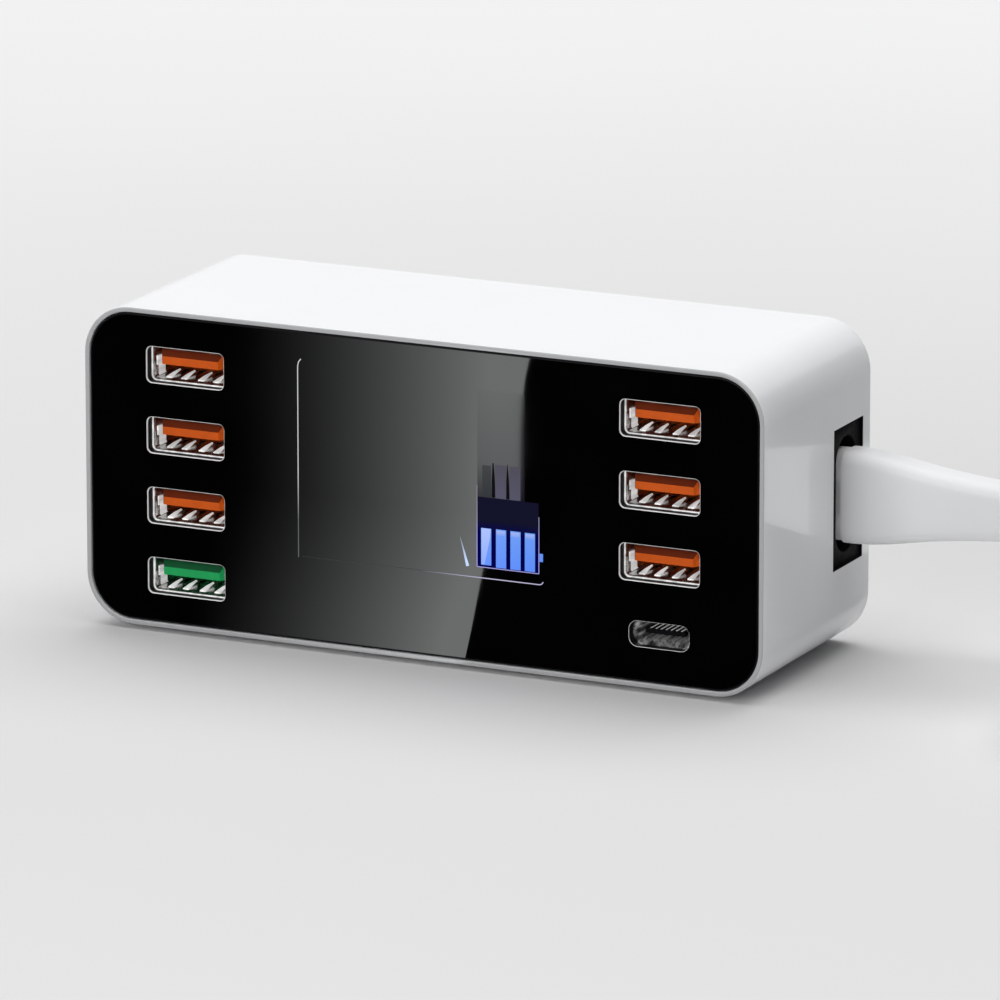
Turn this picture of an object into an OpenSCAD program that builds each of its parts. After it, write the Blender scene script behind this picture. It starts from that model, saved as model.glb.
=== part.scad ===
// Desk charger with eight USB sockets, a lit display and a two-core mains lead.
// The origin is on the surface it stands on, under the middle of the housing. The front faces -Y.

/* [Body] */
// Width of the housing
body_w = 117; // [112:1:150]
// Height of the housing without its feet
body_h = 51.5; // [49:0.5:70]
// Depth from the front lip to the back
body_d = 42; // [40:1:60]
// Radius of the four long corners
corner_r = 8; // [5:0.5:10]
// Wall of the housing
wall = 2.2; // [1.8:0.1:2.6]
// Width of the thin lip round the front panel
lip = 0.75; // [0.6:0.05:1.1]
// How far the feet stand below the housing
foot_h = 0.8; // [0.5:0.1:2]

/* [Front panel] */
// Thickness of the glossy front sheet
panel_t = 1.6; // [1.2:0.1:2.5]
// How far the sheet lies behind the lip
panel_recess = 0.25; // [0.1:0.05:0.6]
// Width of the cut-out for a USB-A socket
slot_w = 13.8; // [13.8:0.1:14.6]
// Height of the cut-out for a USB-A socket
slot_h = 6.2; // [6:0.1:6.8]
// Width of the cut-out for the USB-C socket
slot_c_w = 10.4; // [9.8:0.1:11]
// Height of the cut-out for the USB-C socket
slot_c_h = 4.3; // [4:0.1:5]

/* [Sockets] */
// Distance from the side of the housing to the middle of a column of sockets
port_from_side = 17.6; // [16:0.1:22]
// Distance from one socket to the next
port_pitch = 11.4; // [10:0.1:11.6]
// How far the middle of each column lies below the middle of the front
port_drop = 0.15; // [0:0.05:0.5]
// Depth of a socket from its mouth to its board
port_depth = 14; // [13:0.5:16]

/* [Display] */
// Space between a column of sockets and the edge of the display cell
cell_from_ports = 17.9; // [17.5:0.1:28]
// Space between the inside of the housing's top and the display cell
cell_from_top = 1.65; // [1.5:0.05:6]
// Space between the inside of the housing's bottom and the display cell
cell_from_bottom = 10.45; // [10:0.05:20]

/* [Mains inlet and lead] */
// Distance from the back of the housing to the middle of the inlet
inlet_from_back = 9.25; // [8.8:0.05:10]
// Height of the inlet's face
inlet_h = 22.7; // [22:0.1:26]
// Width of the inlet's face
inlet_w = 11.5; // [11:0.1:12]
// Diameter of the round mains cord
cord_d = 5; // [4.5:0.1:5]

/* [Hidden] */
$fn = 48;

// Clearances
panel_gap = 0.15;
frame_gap = 0.15;
window_gap = 0.3;
inlet_gap = 0.1;
pin_gap = 0.05;
screw_gap = 0.2;

// Heights and depths that the pieces share
front_y = -body_d / 2;
back_y = body_d / 2;
mid_z = foot_h + body_h / 2;
panel_y = front_y + panel_recess;
seat_y = panel_y + panel_t;
inner_back_y = back_y - wall;
board_t = 1.6;
boss_h = 2;
port_board_y = seat_y + port_depth;
port_board_back = port_board_y + board_t;
main_board_back = inner_back_y - boss_h;
main_board_y = main_board_back - board_t;
link_l = main_board_y - port_board_back;
inner_w = body_w - 2 * wall;
inner_h = body_h - 2 * wall;
board_margin = 2.3;
board_h = inner_h - 2 * board_margin;
board_r = 3;
port_x = body_w / 2 - port_from_side;
cell_w = 2 * (port_x - cell_from_ports);
cell_h = inner_h - cell_from_top - cell_from_bottom;
cell_rise = (cell_from_bottom - cell_from_top) / 2;

// Columns of sockets: USB-A positions from the top of the left column to the bottom of the right one
port_rows = 4;
port_z = [for (i = [0 : port_rows - 1]) mid_z - port_drop + port_pitch * ((port_rows - 1) / 2 - i)];
usb_a_at = [for (i = [0 : 3]) [-port_x, port_z[i]], for (i = [0 : 2]) [port_x, port_z[i]]];
usb_c_at = [port_x, port_z[3]];
slot_r = 0.9;

// USB-A socket
sheet = 0.3;
bay_w = 12.5;
bay_h = 5.12;
bay_r = 0.3;
lip_l = 0.8;
lip_out = 0.25;
mouth_gap = 0.05;
tongue_w = 11.1;
tongue_t = 1.84;
tongue_rise = 1.02;
tongue_back = 0.15;
tongue_chamfer = 0.75;
base_l = 3.6;
spring_w = 2;
spring_l = 6;
spring_slit = 0.3;
spring_from_mouth = 3.2;
spring_x = 2.9;
side_spring_w = 1.8;
spring_in = [0.7, 0.35, 0.4];
contact_w = 1;
contact_t = 0.2;
contact_x = [-3.5, -1, 1, 3.5];
contact_from_tip = 0.9;

// USB-C socket
c_bay_w = 8.34;
c_bay_h = 2.66;
c_flare_l = 1.2;
c_flare_gap = 0.1;
c_mouth_h = slot_c_h - 2 * c_flare_gap;
c_mouth_w = c_bay_w - c_bay_h + c_mouth_h;
c_tongue_w = 6.7;
c_tongue_t = 0.7;
c_tongue_back = 0.7;
c_base_l = 7;
c_contact_n = 12;
c_contact_pitch = 0.5;
c_contact_w = 0.26;
c_contact_t = 0.08;

// Front frame and display
frame_t = 1.8;
post_r = 3;
post_from_port = 12.3;
post_x = port_x - post_from_port;
post_z = 17;
snap_from_port = 11.6;
snap_x = port_x - snap_from_port;
snap_w = 8;
snap_t = 1.2;
snap_l = 7;
snap_hook = 0.6;
snap_tip = 1.8;
backlight_t = 1.5;
backlight_edge = 1;
display_board_t = 1.2;
display_board_edge = 2;
display_board_drop = 0.5;
display_header_drop = 8;
display_pins = 8;
header_pitch = 2.54;
header_pin = 0.64;
header_strip = 2.5;

// Screws
screw_r = 1.1;
screw_head_r = 2.3;
screw_head_h = 1.4;
screw_l = 8;
back_screw_l = 3;

// Feet
foot_r = 4.5;
foot_from_side = 15.5;
foot_from_front = 8;
foot_x = body_w / 2 - foot_from_side;
foot_y = body_d / 2 - foot_from_front;
foot_sink = 0.4;

// Mains inlet
inlet_recess = 0.4;
inlet_depth = 18;
inlet_ear = 2.7;
inlet_ear_t = 1.8;
cavity_r = 3.9;
cavity_z = 5.4;
cavity_waist = 3.85;
cavity_depth = 13;
pin_r = 1.2;
pin_z = 4.3;
pin_l = 11.2;
tail_l = 3;
tail_t = 0.8;
tail_w = 2.4;
inlet_y = back_y - inlet_from_back;
inlet_z = mid_z - port_drop;
inlet_face_x = body_w / 2 - inlet_recess;
inlet_back_x = inlet_face_x - inlet_depth;

// Main board and what stands on it
main_gap = 1;
main_x0 = -inner_w / 2 + board_margin + main_gap;
main_x1 = inlet_back_x - main_gap;
screw_inset = 4;
part_gap = 0.8;
output_cap_r = 4;
output_cap_l = 12;
output_cap_edge = 1.2;
output_cap_x = main_x0 + output_cap_r + output_cap_edge;
output_cap_pitch = 9.2;
transistor = [10, 12, 4.5];
transistor_shift = [5, 4];
sink_t = 1.5;
sink_h = 12;
sink_l = 30;
sink_fold = 5;
side_sink_drop = 2;
side_sink_x = output_cap_x + output_cap_r + part_gap + transistor[2] + sink_t / 2;
side_sink_z = mid_z - side_sink_drop;
transformer = [22, 8, 27];
winding = [16, 14, 18];
core_leg = 7;
winding_gap = 0.1;
transformer_x = side_sink_x + sink_t / 2 + part_gap + transformer[0] / 2;
transformer_drop = 2.5;
transformer_z = mid_z - transformer_drop;
top_sink_x = transformer_x;
top_sink_rise = 17.6;
top_sink_z = mid_z + top_sink_rise;
mains_cap_r = 6.2;
mains_cap_l = 20;
mains_cap_x = transformer_x + transformer[0] / 2 + part_gap + mains_cap_l / 2;
mains_cap_drop = [14.4, 0.5];
mains_cap_z = [for (d = mains_cap_drop) mid_z - d];
can_edge = 0.5;
can_pinch = 0.6;
can_pinch_at = 2;
bridge = [14, 11, 3.5];
bridge_rise = 13.5;
bridge_x = top_sink_x + sink_l / 2 + part_gap + bridge[0] / 2;
bridge_z = mid_z + bridge_rise;
choke_r = 7.5;
choke_hole_r = 3.8;
choke_l = 6;
wire_t = 1.1;
wire_angle = 130;
choke_x = mains_cap_x + mains_cap_l / 2 + part_gap + choke_r + wire_t;
choke_rise = 1.5;
choke_z = mid_z + choke_rise;
film_cap = [12, 8, 13];
film_cap_r = 0.8;
film_cap_drop = 14;
film_cap_x = choke_x - choke_r - wire_t + film_cap[0] / 2;
film_cap_z = mid_z - film_cap_drop;
fuse_r = 2.5;
fuse_l = 12;
fuse_cap_l = 3.2;
fuse_leg = 0.5;
fuse_leg_w = 1;
fuse_glass_in = 0.3;
fuse_x = film_cap_x;
fuse_rise = 15.5;
fuse_z = mid_z + fuse_rise;
link_shift = 5.5;
link_x = transformer_x + link_shift;
link_rise = 2;
link_pins = 4;
chip = [5, 1.5, 4];

// Mains lead. The connector's half sizes are given at each distance from the housing.
connector_form = [[0.1, 7.45, 3.75], [3.5, 7.4, 3.75], [7, 7.05, 3.7], [10, 6.55, 3.65], [13, 6, 3.6],
                  [16, 5.55, 3.5], [19, 5.2, 3.45], [22, 4.9, 3.4], [26, 4.55, 3.35], [31, 4.2, 3.25],
                  [38, 3.75, 3.1], [46, 3.3, 2.95]];
connector_round = 2.2;
nose_r = 3.7;
nose_z = 3.75;
nose_waist = 3.35;
nose_gap = 0.5;
contact_sleeve_r = 1.75;
contact_sleeve_l = 11;
cord_r = cord_d / 2;
cord_sides = 10;
hank_near = [118, -7];
hank_far = [193, -4.1];
hank_reach = 22.5;
hank_spread = 25.4;
hank_layers = 2;
tie_t = 0.5;
tie_w = 10;
tie_x = 156;
hank_bottom = tie_t;
hank_top = hank_bottom + hank_layers * cord_d;
entry_at = [177, 18.5, 3.05];
riser_from = [146, -26.8, 8];
riser_to = [118, -26.8, 13];
lead_route = [[104.5, 11.75, 26.4], [109, 11.75, 26.4], [114, 12.3, 25.9], [119, 13.3, 24.6],
              [124, 14.6, 22.7], [129, 15.9, 20.2], [134, 17.1, 17.5], [139, 18, 14.5],
              [144, 18.5, 11.6], [149, 18.5, 8.8], [154, 18.5, 6.3], [159, 18.5, 4.4],
              [164, 18.5, 3.35], [170, 18.5, 3.05], [177, 18.5, 3.05]];
tail_route = [[118, -26.8, 13], [115.76, -26.8, 13.4], [111.7, -25.5, 13.9], [106.7, -22.3, 14.1],
              [103.2, -17.1, 14.4], [102, -11, 14.6], [103.2, -4.9, 14.9], [106.7, 0.3, 15.2],
              [111.9, 3.8, 15.6], [118, 5, 16], [124.1, 3.8, 16.4], [129.3, 0.3, 16.7],
              [133.1, -2.7, 16.9], [137.2, -5, 17.1], [141.7, -6.4, 17.2], [147, -7, 17.3],
              [152, -7, 17.3]];
plug_at = [152, -7, 17.3];
plug_form = [[0, 2.9, 2.9], [5, 3.3, 3.2], [14, 4.6, 4.2], [15, 8, 5.6], [18, 10, 6.4], [26, 14.6, 6.8],
             [32, 17.2, 6.8], [36, 17.65, 6.8], [47, 17.65, 6.8], [48, 17.2, 6.4]];
plug_round = 3;
plug_pin_y = 9.3;
plug_pin_r = 2;
plug_pin_l = 19;
plug_sleeve_l = 10;
plug_core_r = 1.4;
plug_core_in = 8;

// Rectangle with round corners
module round_box(w, h, r) {
    square([w - 2 * r, h], center = true);
    square([w, h - 2 * r], center = true);
    for (sx = [-1, 1], sy = [-1, 1])
        translate([sx * (w / 2 - r), sy * (h / 2 - r)])
            circle(r);
}

// Two round lobes joined by a narrower waist
module figure_eight(r, spread, waist) {
    for (s = [-1, 1])
        translate([0, s * spread])
            circle(r);
    square([2 * waist, 2 * spread], center = true);
}

// A flat shape drawn as width and height, pulled along the depth
module along_y(y, l) {
    translate([0, y + l, 0])
        rotate([90, 0, 0])
            linear_extrude(l)
                children();
}

// A flat shape drawn as depth and height, pulled along the width
module along_x(x, l) {
    translate([x, 0, 0])
        rotate([90, 0, 90])
            linear_extrude(l)
                children();
}

// A block by its middle in width and height, and by where it starts in depth
module block(at, y, size) {
    translate([at[0] - size[0] / 2, y, at[1] - size[2] / 2])
        cube(size);
}

function unit(v) = v / norm(v);
function heading(p, i) = unit(p[min(i + 1, len(p) - 1)] - p[max(i - 1, 0)]);
function ring(at, dir, r, n) =
    let (s = unit(cross(dir, [0, 0, 1])), u = cross(s, dir))
    [for (k = [0 : n - 1]) at + r * (cos(360 * k / n) * s + sin(360 * k / n) * u)];
function wrap(rows, n) =
    [for (i = [0 : rows - 2], k = [0 : n - 1])
        [i * n + k, i * n + (k + 1) % n, (i + 1) * n + (k + 1) % n, (i + 1) * n + k]];

// A closed skin over equal rings of points
module skin(rings) {
    n = len(rings[0]);
    last = len(rings) - 1;
    points = [for (r = rings) each r];
    near_end = [[for (k = [n - 1 : -1 : 0]) k]];
    far_end = [[for (k = [0 : n - 1]) last * n + k]];
    polyhedron(points, concat(near_end, wrap(len(rings), n), far_end), convexity = 6);
}

// A round cord along its route
module cord(route) {
    skin([for (i = [0 : len(route) - 1]) ring(route[i], heading(route, i), cord_r, cord_sides)]);
}

// One cross-section of a moulded grip: a rectangle with round corners at a distance along the width
corner_steps = 5;
function grip_ring(x, half_y, half_z, r) =
    [for (q = [0 : 3], k = [0 : corner_steps])
        let (a = 90 * q + 90 * k / corner_steps,
             cy = (q == 0 || q == 3 ? 1 : -1) * (half_y - r),
             cz = (q < 2 ? 1 : -1) * (half_z - r))
        [x, -cy - r * cos(a), cz + r * sin(a)]];

// Screw with its head at the front, standing along the depth
module screw(at, y, l) {
    translate([at[0], y, at[1]])
        rotate([-90, 0, 0]) {
            cylinder(h = l, r = screw_r);
            translate([0, 0, -screw_head_h])
                cylinder(h = screw_head_h, r = screw_head_r);
        }
}

board_screws = [for (x = [main_x0 + screw_inset, main_x1 - screw_inset], s = [-1, 1])
    [x, mid_z + s * (board_h / 2 - screw_inset)]];
post_at = [for (x = [-post_x, post_x], s = [-1, 1]) [x, mid_z + s * post_z]];
foot_at = [for (x = [-foot_x, foot_x], y = [-foot_y, foot_y]) [x, y]];

// White moulded shell with a closed back
module housing() {
    color("whitesmoke")
    difference() {
        union() {
            difference() {
                translate([0, 0, mid_z]) along_y(front_y, body_d) round_box(body_w, body_h, corner_r);
                translate([0, 0, mid_z])
                    along_y(front_y - 1, body_d - wall + 1) round_box(inner_w, inner_h, corner_r - wall);
            }
            for (p = board_screws)
                translate([p[0], main_board_back, p[1]])
                    rotate([-90, 0, 0])
                        cylinder(h = boss_h + wall / 2, r = post_r);
        }
        translate([0, 0, mid_z])
            along_y(front_y - 1, seat_y - front_y + 1)
                round_box(body_w - 2 * lip, body_h - 2 * lip, corner_r - lip);
        for (p = board_screws)
            translate([p[0], main_board_back - 1, p[1]])
                rotate([-90, 0, 0])
                    cylinder(h = back_screw_l + 1, r = screw_r);
        for (p = foot_at)
            translate([p[0], p[1], foot_h - 1])
                cylinder(h = foot_sink + 1, r = foot_r);
        for (x = [-snap_x, snap_x], s = [-1, 1])
            block([x, mid_z + s * inner_h / 2], seat_y + frame_t + snap_l - snap_tip - frame_gap,
                  [snap_w + 1, snap_tip + 2 * frame_gap, 2 * snap_hook + 2 * frame_gap]);
        translate([inner_w / 2 - 1, inlet_y - inlet_w / 2, inlet_z - inlet_h / 2])
            cube([wall + 2, inlet_w, inlet_h]);
    }
}

// Glossy sheet with a cut-out for each socket
module front_panel() {
    color([0.02, 0.02, 0.025])
    difference() {
        translate([0, 0, mid_z])
            along_y(panel_y, panel_t)
                round_box(body_w - 2 * lip - 2 * panel_gap, body_h - 2 * lip - 2 * panel_gap,
                          corner_r - lip - panel_gap);
        for (p = usb_a_at)
            translate([p[0], 0, p[1]]) along_y(panel_y - 1, panel_t + 2) round_box(slot_w, slot_h, slot_r);
        translate([usb_c_at[0], 0, usb_c_at[1]])
            along_y(panel_y - 1, panel_t + 2) round_box(slot_c_w, slot_c_h, slot_c_h / 2 - 0.1);
    }
}

// Snap arm at the edge of the frame, for the top when up is 1 and for the bottom when it is -1
module snap_arm(x, up) {
    edge = inner_h / 2 - frame_gap;
    arm_z = mid_z + up * (edge - snap_t / 2);
    tip_y = seat_y + frame_t + snap_l - snap_tip;
    block([x, arm_z], seat_y + frame_t / 2, [snap_w, snap_l + frame_t / 2, snap_t]);
    block([x, mid_z + up * (edge + (snap_hook - snap_t) / 2)], tip_y, [snap_w, snap_tip, snap_t + snap_hook]);
}

// Black carrier behind the panel, with windows for the sockets and the display
module front_frame() {
    color([0.08, 0.08, 0.09])
    difference() {
        union() {
            translate([0, 0, mid_z])
                along_y(seat_y, frame_t)
                    round_box(inner_w - 2 * frame_gap, inner_h - 2 * frame_gap, corner_r - wall - frame_gap);
            for (x = [-snap_x, snap_x], up = [-1, 1])
                snap_arm(x, up);
            for (p = post_at)
                translate([p[0], seat_y + frame_t / 2, p[1]])
                    rotate([-90, 0, 0])
                        cylinder(h = port_depth - frame_t / 2, r = post_r);
        }
        for (p = usb_a_at)
            block(p, seat_y - 1, [bay_w + 2 * sheet + 2 * window_gap, frame_t + 2,
                                  bay_h + 2 * sheet + 2 * window_gap]);
        translate([usb_c_at[0], 0, usb_c_at[1]])
            along_y(seat_y - 1, frame_t + 2)
                round_box(c_mouth_w + 2 * sheet + window_gap, c_mouth_h + 2 * sheet + window_gap,
                          c_mouth_h / 2 + sheet);
        block([0, mid_z + cell_rise], seat_y - 1, [cell_w, frame_t + 2, cell_h]);
        for (p = post_at)
            translate([p[0], port_board_y - screw_l + board_t, p[1]])
                rotate([-90, 0, 0])
                    cylinder(h = screw_l, r = screw_r);
    }
}

module display_cell() {
    color([0.05, 0.06, 0.1])
    block([0, mid_z + cell_rise], seat_y, [cell_w, frame_t, cell_h]);
}

module display_backlight() {
    color("white")
    block([0, mid_z + cell_rise], seat_y + frame_t,
          [cell_w + 2 * backlight_edge, backlight_t, cell_h + backlight_edge]);
}

module display_board() {
    color("darkgreen")
    block([0, mid_z + cell_rise - display_board_drop], seat_y + frame_t + backlight_t,
          [cell_w + 2 * display_board_edge, display_board_t, cell_h + display_board_edge]);
}

// Row of square pins held by a black strip at each end
module pin_header(at, y, l, n) {
    for (i = [0 : n - 1])
        block([at[0] + header_pitch * (i - (n - 1) / 2), at[1]], y, [header_pin, l, header_pin]);
    for (start = [y, y + l - header_strip])
        block(at, start, [header_pitch * n, header_strip, header_strip]);
}

module display_header() {
    color([0.1, 0.1, 0.1])
    pin_header([0, mid_z - display_header_drop], seat_y + frame_t + backlight_t + display_board_t,
               port_depth - frame_t - backlight_t - display_board_t, display_pins);
}

// Board that carries all the sockets
module port_board() {
    color("darkgreen")
    difference() {
        translate([0, 0, mid_z])
            along_y(port_board_y, board_t) round_box(inner_w - 2 * board_margin, board_h, board_r);
        for (p = post_at)
            translate([p[0], port_board_y - 1, p[1]])
                rotate([-90, 0, 0])
                    cylinder(h = board_t + 2, r = screw_r + screw_gap);
    }
}

module port_board_screws() {
    color("silver")
    for (p = post_at)
        translate([p[0], port_board_back, p[1]])
            rotate([90, 0, 0]) {
                cylinder(h = screw_l, r = screw_r);
                translate([0, 0, -screw_head_h])
                    cylinder(h = screw_head_h, r = screw_head_r);
            }
}

// One spring finger of a socket's sheet-metal wall. The wall lies at z = 0 and the finger bends to -z
// from its root at the back; with slit it is the opening that the finger was cut from.
module spring_finger(w, inward, slit = false) {
    bend = atan(inward / (spring_l - 1));
    if (slit)
        translate([-w / 2 - spring_slit, spring_from_mouth, -sheet])
            cube([w + 2 * spring_slit, spring_l, 3 * sheet]);
    else {
        translate([-w / 2, spring_from_mouth + spring_l + 0.1, 0])
            rotate([bend, 0, 0])
                translate([0, -(spring_l - 0.7), 0])
                    cube([w, spring_l - 0.7, sheet]);
        translate([-w / 2, spring_from_mouth + spring_l + 0.1, 0])
            rotate([bend, 0, 0])
                translate([0, -(spring_l - 0.7), 0])
                    rotate([-2.2 * bend - 12, 0, 0])
                        translate([0, -0.6, 0])
                            cube([w, 0.7, sheet]);
    }
}

// Flared lip along one edge of a socket's mouth. The wall lies at z = 0 and the lip bends to +z.
module flared_lip(w) {
    translate([-w / 2, lip_l, 0])
        rotate([-atan(lip_out / lip_l), 0, 0])
            translate([0, -lip_l, 0])
                cube([w, lip_l + 0.1, sheet]);
}

// Puts what is drawn for a top wall on each of the four walls of a USB-A socket
module on_wall(i) {
    turn = [0, 180, 90, -90][i];
    reach = (i < 2 ? bay_h : bay_w) / 2;
    rotate([0, turn, 0])
        translate([0, 0, reach])
            children();
}

// Folded sheet-metal shell of a USB-A socket: flared lips and inward spring fingers
module usb_a_shell(i) {
    mouth = seat_y + mouth_gap;
    color("silver")
    translate([usb_a_at[i - 1][0], mouth, usb_a_at[i - 1][1]]) {
        difference() {
            along_y(lip_l - 0.1, port_depth - mouth_gap - lip_l + 0.1)
                round_box(bay_w + 2 * sheet, bay_h + 2 * sheet, bay_r + sheet);
            along_y(-1, port_depth + 2) round_box(bay_w, bay_h, bay_r);
            for (s = [-1, 1], wall_i = [0, 1])
                on_wall(wall_i) translate([s * spring_x, 0, 0]) spring_finger(spring_w, 0, true);
            for (wall_i = [2, 3])
                on_wall(wall_i) spring_finger(side_spring_w, 0, true);
        }
        for (s = [-1, 1], wall_i = [0, 1])
            on_wall(wall_i)
                translate([s * spring_x, 0, 0])
                    spring_finger(spring_w, wall_i == 0 ? spring_in[1] : spring_in[0]);
        for (wall_i = [2, 3])
            on_wall(wall_i) spring_finger(side_spring_w, spring_in[2]);
        for (wall_i = [0 : 3])
            on_wall(wall_i) flared_lip((wall_i < 2 ? bay_w : bay_h) - 1.2);
    }
}

// Moulded tongue whose tip slopes at the top and at both ends, and the base that fills the shell's back
module usb_a_tongue(i, paint) {
    tip = seat_y + mouth_gap + tongue_back;
    base_y = port_board_y - base_l;
    c = tongue_chamfer;
    half_t = tongue_t / 2;
    color(paint)
    translate([usb_a_at[i - 1][0], 0, usb_a_at[i - 1][1]])
        difference() {
            union() {
                intersection() {
                    along_x(-tongue_w / 2, tongue_w)
                        polygon([[tip, tongue_rise - half_t], [base_y + 1, tongue_rise - half_t],
                                 [base_y + 1, tongue_rise + half_t], [tip + c, tongue_rise + half_t],
                                 [tip, tongue_rise + half_t - c]]);
                    translate([0, 0, tongue_rise - 2])
                        linear_extrude(4)
                            polygon([[-tongue_w / 2 + c, tip], [tongue_w / 2 - c, tip],
                                     [tongue_w / 2, tip + c], [tongue_w / 2, base_y + 2],
                                     [-tongue_w / 2, base_y + 2], [-tongue_w / 2, tip + c]]);
                }
                along_y(base_y, base_l) round_box(bay_w, bay_h, bay_r);
            }
            contact_blades(tip);
        }
}

// The four blades under a tongue, from near its tip to the board
module contact_blades(tip) {
    for (x = contact_x)
        translate([x - contact_w / 2, tip + contact_from_tip, tongue_rise - tongue_t / 2 - contact_t / 2])
            cube([contact_w, port_board_y - tip - contact_from_tip, contact_t]);
}

module usb_a_contacts(i) {
    color("gold")
    translate([usb_a_at[i - 1][0], 0, usb_a_at[i - 1][1]])
        contact_blades(seat_y + mouth_gap + tongue_back);
}

// A form with half-round ends along the depth, which goes from one height to another
module c_form(y, l, from_h, to_h) {
    reach = (c_bay_w - c_bay_h) / 2;
    for (s = [-1, 1])
        translate([s * reach, y, 0])
            rotate([-90, 0, 0])
                cylinder(h = l, r1 = from_h / 2, r2 = to_h / 2);
    along_x(-reach, 2 * reach)
        polygon([[y, -from_h / 2], [y + l, -to_h / 2], [y + l, to_h / 2], [y, from_h / 2]]);
}

// Drawn shell of the USB-C socket, which opens out to the cut-out of the panel
module usb_c_shell() {
    mouth = seat_y + mouth_gap;
    outer_h = c_bay_h + 2 * sheet;
    color("silver")
    translate([usb_c_at[0], 0, usb_c_at[1]])
        difference() {
            union() {
                c_form(mouth, c_flare_l, c_mouth_h + 2 * sheet, outer_h);
                c_form(mouth, port_depth - mouth_gap, outer_h, outer_h);
            }
            c_form(mouth - c_flare_l, 2 * c_flare_l, 2 * c_mouth_h - c_bay_h, c_bay_h);
            c_form(mouth, port_depth, c_bay_h, c_bay_h);
        }
}

module usb_c_blades() {
    tip = seat_y + mouth_gap + c_tongue_back + 0.4;
    for (k = [0 : c_contact_n - 1], s = [-1, 1])
        block([c_contact_pitch * (k - (c_contact_n - 1) / 2), s * c_tongue_t / 2], tip,
              [c_contact_w, port_board_y - tip, c_contact_t]);
}

module usb_c_tongue() {
    tip = seat_y + mouth_gap + c_tongue_back;
    color([0.1, 0.1, 0.1])
    translate([usb_c_at[0], 0, usb_c_at[1]])
        difference() {
            union() {
                block([0, 0], tip, [c_tongue_w, port_board_y - tip, c_tongue_t]);
                c_form(port_board_y - c_base_l, c_base_l, c_bay_h, c_bay_h);
            }
            usb_c_blades();
        }
}

module usb_c_contacts() {
    color("gold")
    translate([usb_c_at[0], 0, usb_c_at[1]])
        usb_c_blades();
}

module main_board() {
    color("peru")
    difference() {
        translate([main_x0, main_board_y, mid_z - board_h / 2])
            cube([main_x1 - main_x0, board_t, board_h]);
        for (p = board_screws)
            translate([p[0], main_board_y - 1, p[1]])
                rotate([-90, 0, 0])
                    cylinder(h = board_t + 2, r = screw_r + screw_gap);
    }
}

module main_board_screws() {
    color("silver")
    for (p = board_screws)
        screw(p, main_board_y, board_t + back_screw_l);
}

module link_header() {
    color([0.1, 0.1, 0.1])
    pin_header([link_x, mid_z - board_h / 2 + link_rise], port_board_back, link_l, link_pins);
}

// Ferrite core: an outer frame and the leg that the winding sits on
module transformer_core() {
    y = main_board_y - winding[1] / 2 - transformer[1] / 2;
    window = [winding[0] + 2 * winding_gap, transformer[1] + 2, winding[2] + 2 * winding_gap];
    color([0.2, 0.2, 0.22]) {
        difference() {
            block([transformer_x, transformer_z], y, transformer);
            block([transformer_x, transformer_z], y - 1, window);
        }
        block([transformer_x, transformer_z], y, [core_leg, transformer[1], winding[2] + 1]);
    }
}

module transformer_winding() {
    y = main_board_y - winding[1];
    color("goldenrod")
    difference() {
        translate([transformer_x, 0, transformer_z])
            along_y(y, winding[1]) square([winding[0], winding[2]], center = true);
        block([transformer_x, transformer_z], main_board_y - (winding[1] + transformer[1]) / 2,
              [core_leg, transformer[1], winding[2] + 2]);
    }
}

// Outline of a capacitor's can: round edges and a pinched ring near one end
function can(r, l) =
    [[0, 0], [r - can_edge, 0], [r, can_edge], [r, can_pinch_at],
     [r - can_pinch, can_pinch_at + can_pinch], [r, can_pinch_at + 2 * can_pinch],
     [r, l - can_edge], [r - can_edge, l], [0, l]];

module mains_capacitors() {
    color([0.12, 0.16, 0.3])
    for (z = mains_cap_z)
        translate([mains_cap_x - mains_cap_l / 2, main_board_y - mains_cap_r, z])
            rotate([0, 90, 0])
                rotate_extrude() polygon(can(mains_cap_r, mains_cap_l));
}

module output_capacitors() {
    color([0.1, 0.35, 0.3])
    for (i = [-1 : 1])
        translate([output_cap_x, main_board_y, mid_z + i * output_cap_pitch])
            rotate([90, 0, 0])
                rotate_extrude() polygon(can(output_cap_r, output_cap_l));
}

// Ring core of the mains filter, standing on its flat side
module choke_core() {
    color([0.15, 0.35, 0.25])
    translate([choke_x, main_board_y - wire_t - choke_l, choke_z])
        rotate([-90, 0, 0])
            difference() {
                cylinder(h = choke_l, r = choke_r);
                translate([0, 0, -1]) cylinder(h = choke_l + 2, r = choke_hole_r);
            }
}

// Two half windings wrapped round the ring core
module choke_winding() {
    color([0.75, 0.35, 0.15])
    for (turn = [0, 180])
        translate([choke_x, main_board_y - 2 * wire_t - choke_l, choke_z])
            rotate([-90, 0, 0])
                rotate([0, 0, turn + 25])
                    rotate_extrude(angle = wire_angle)
                        difference() {
                            translate([choke_hole_r - wire_t, 0])
                                square([choke_r - choke_hole_r + 2 * wire_t, choke_l + 2 * wire_t]);
                            translate([choke_hole_r, wire_t])
                                square([choke_r - choke_hole_r, choke_l]);
                        }
}

module filter_capacitor() {
    color("gold")
    translate([film_cap_x, 0, film_cap_z])
        along_y(main_board_y - film_cap[1], film_cap[1]) round_box(film_cap[0], film_cap[2], film_cap_r);
}

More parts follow.
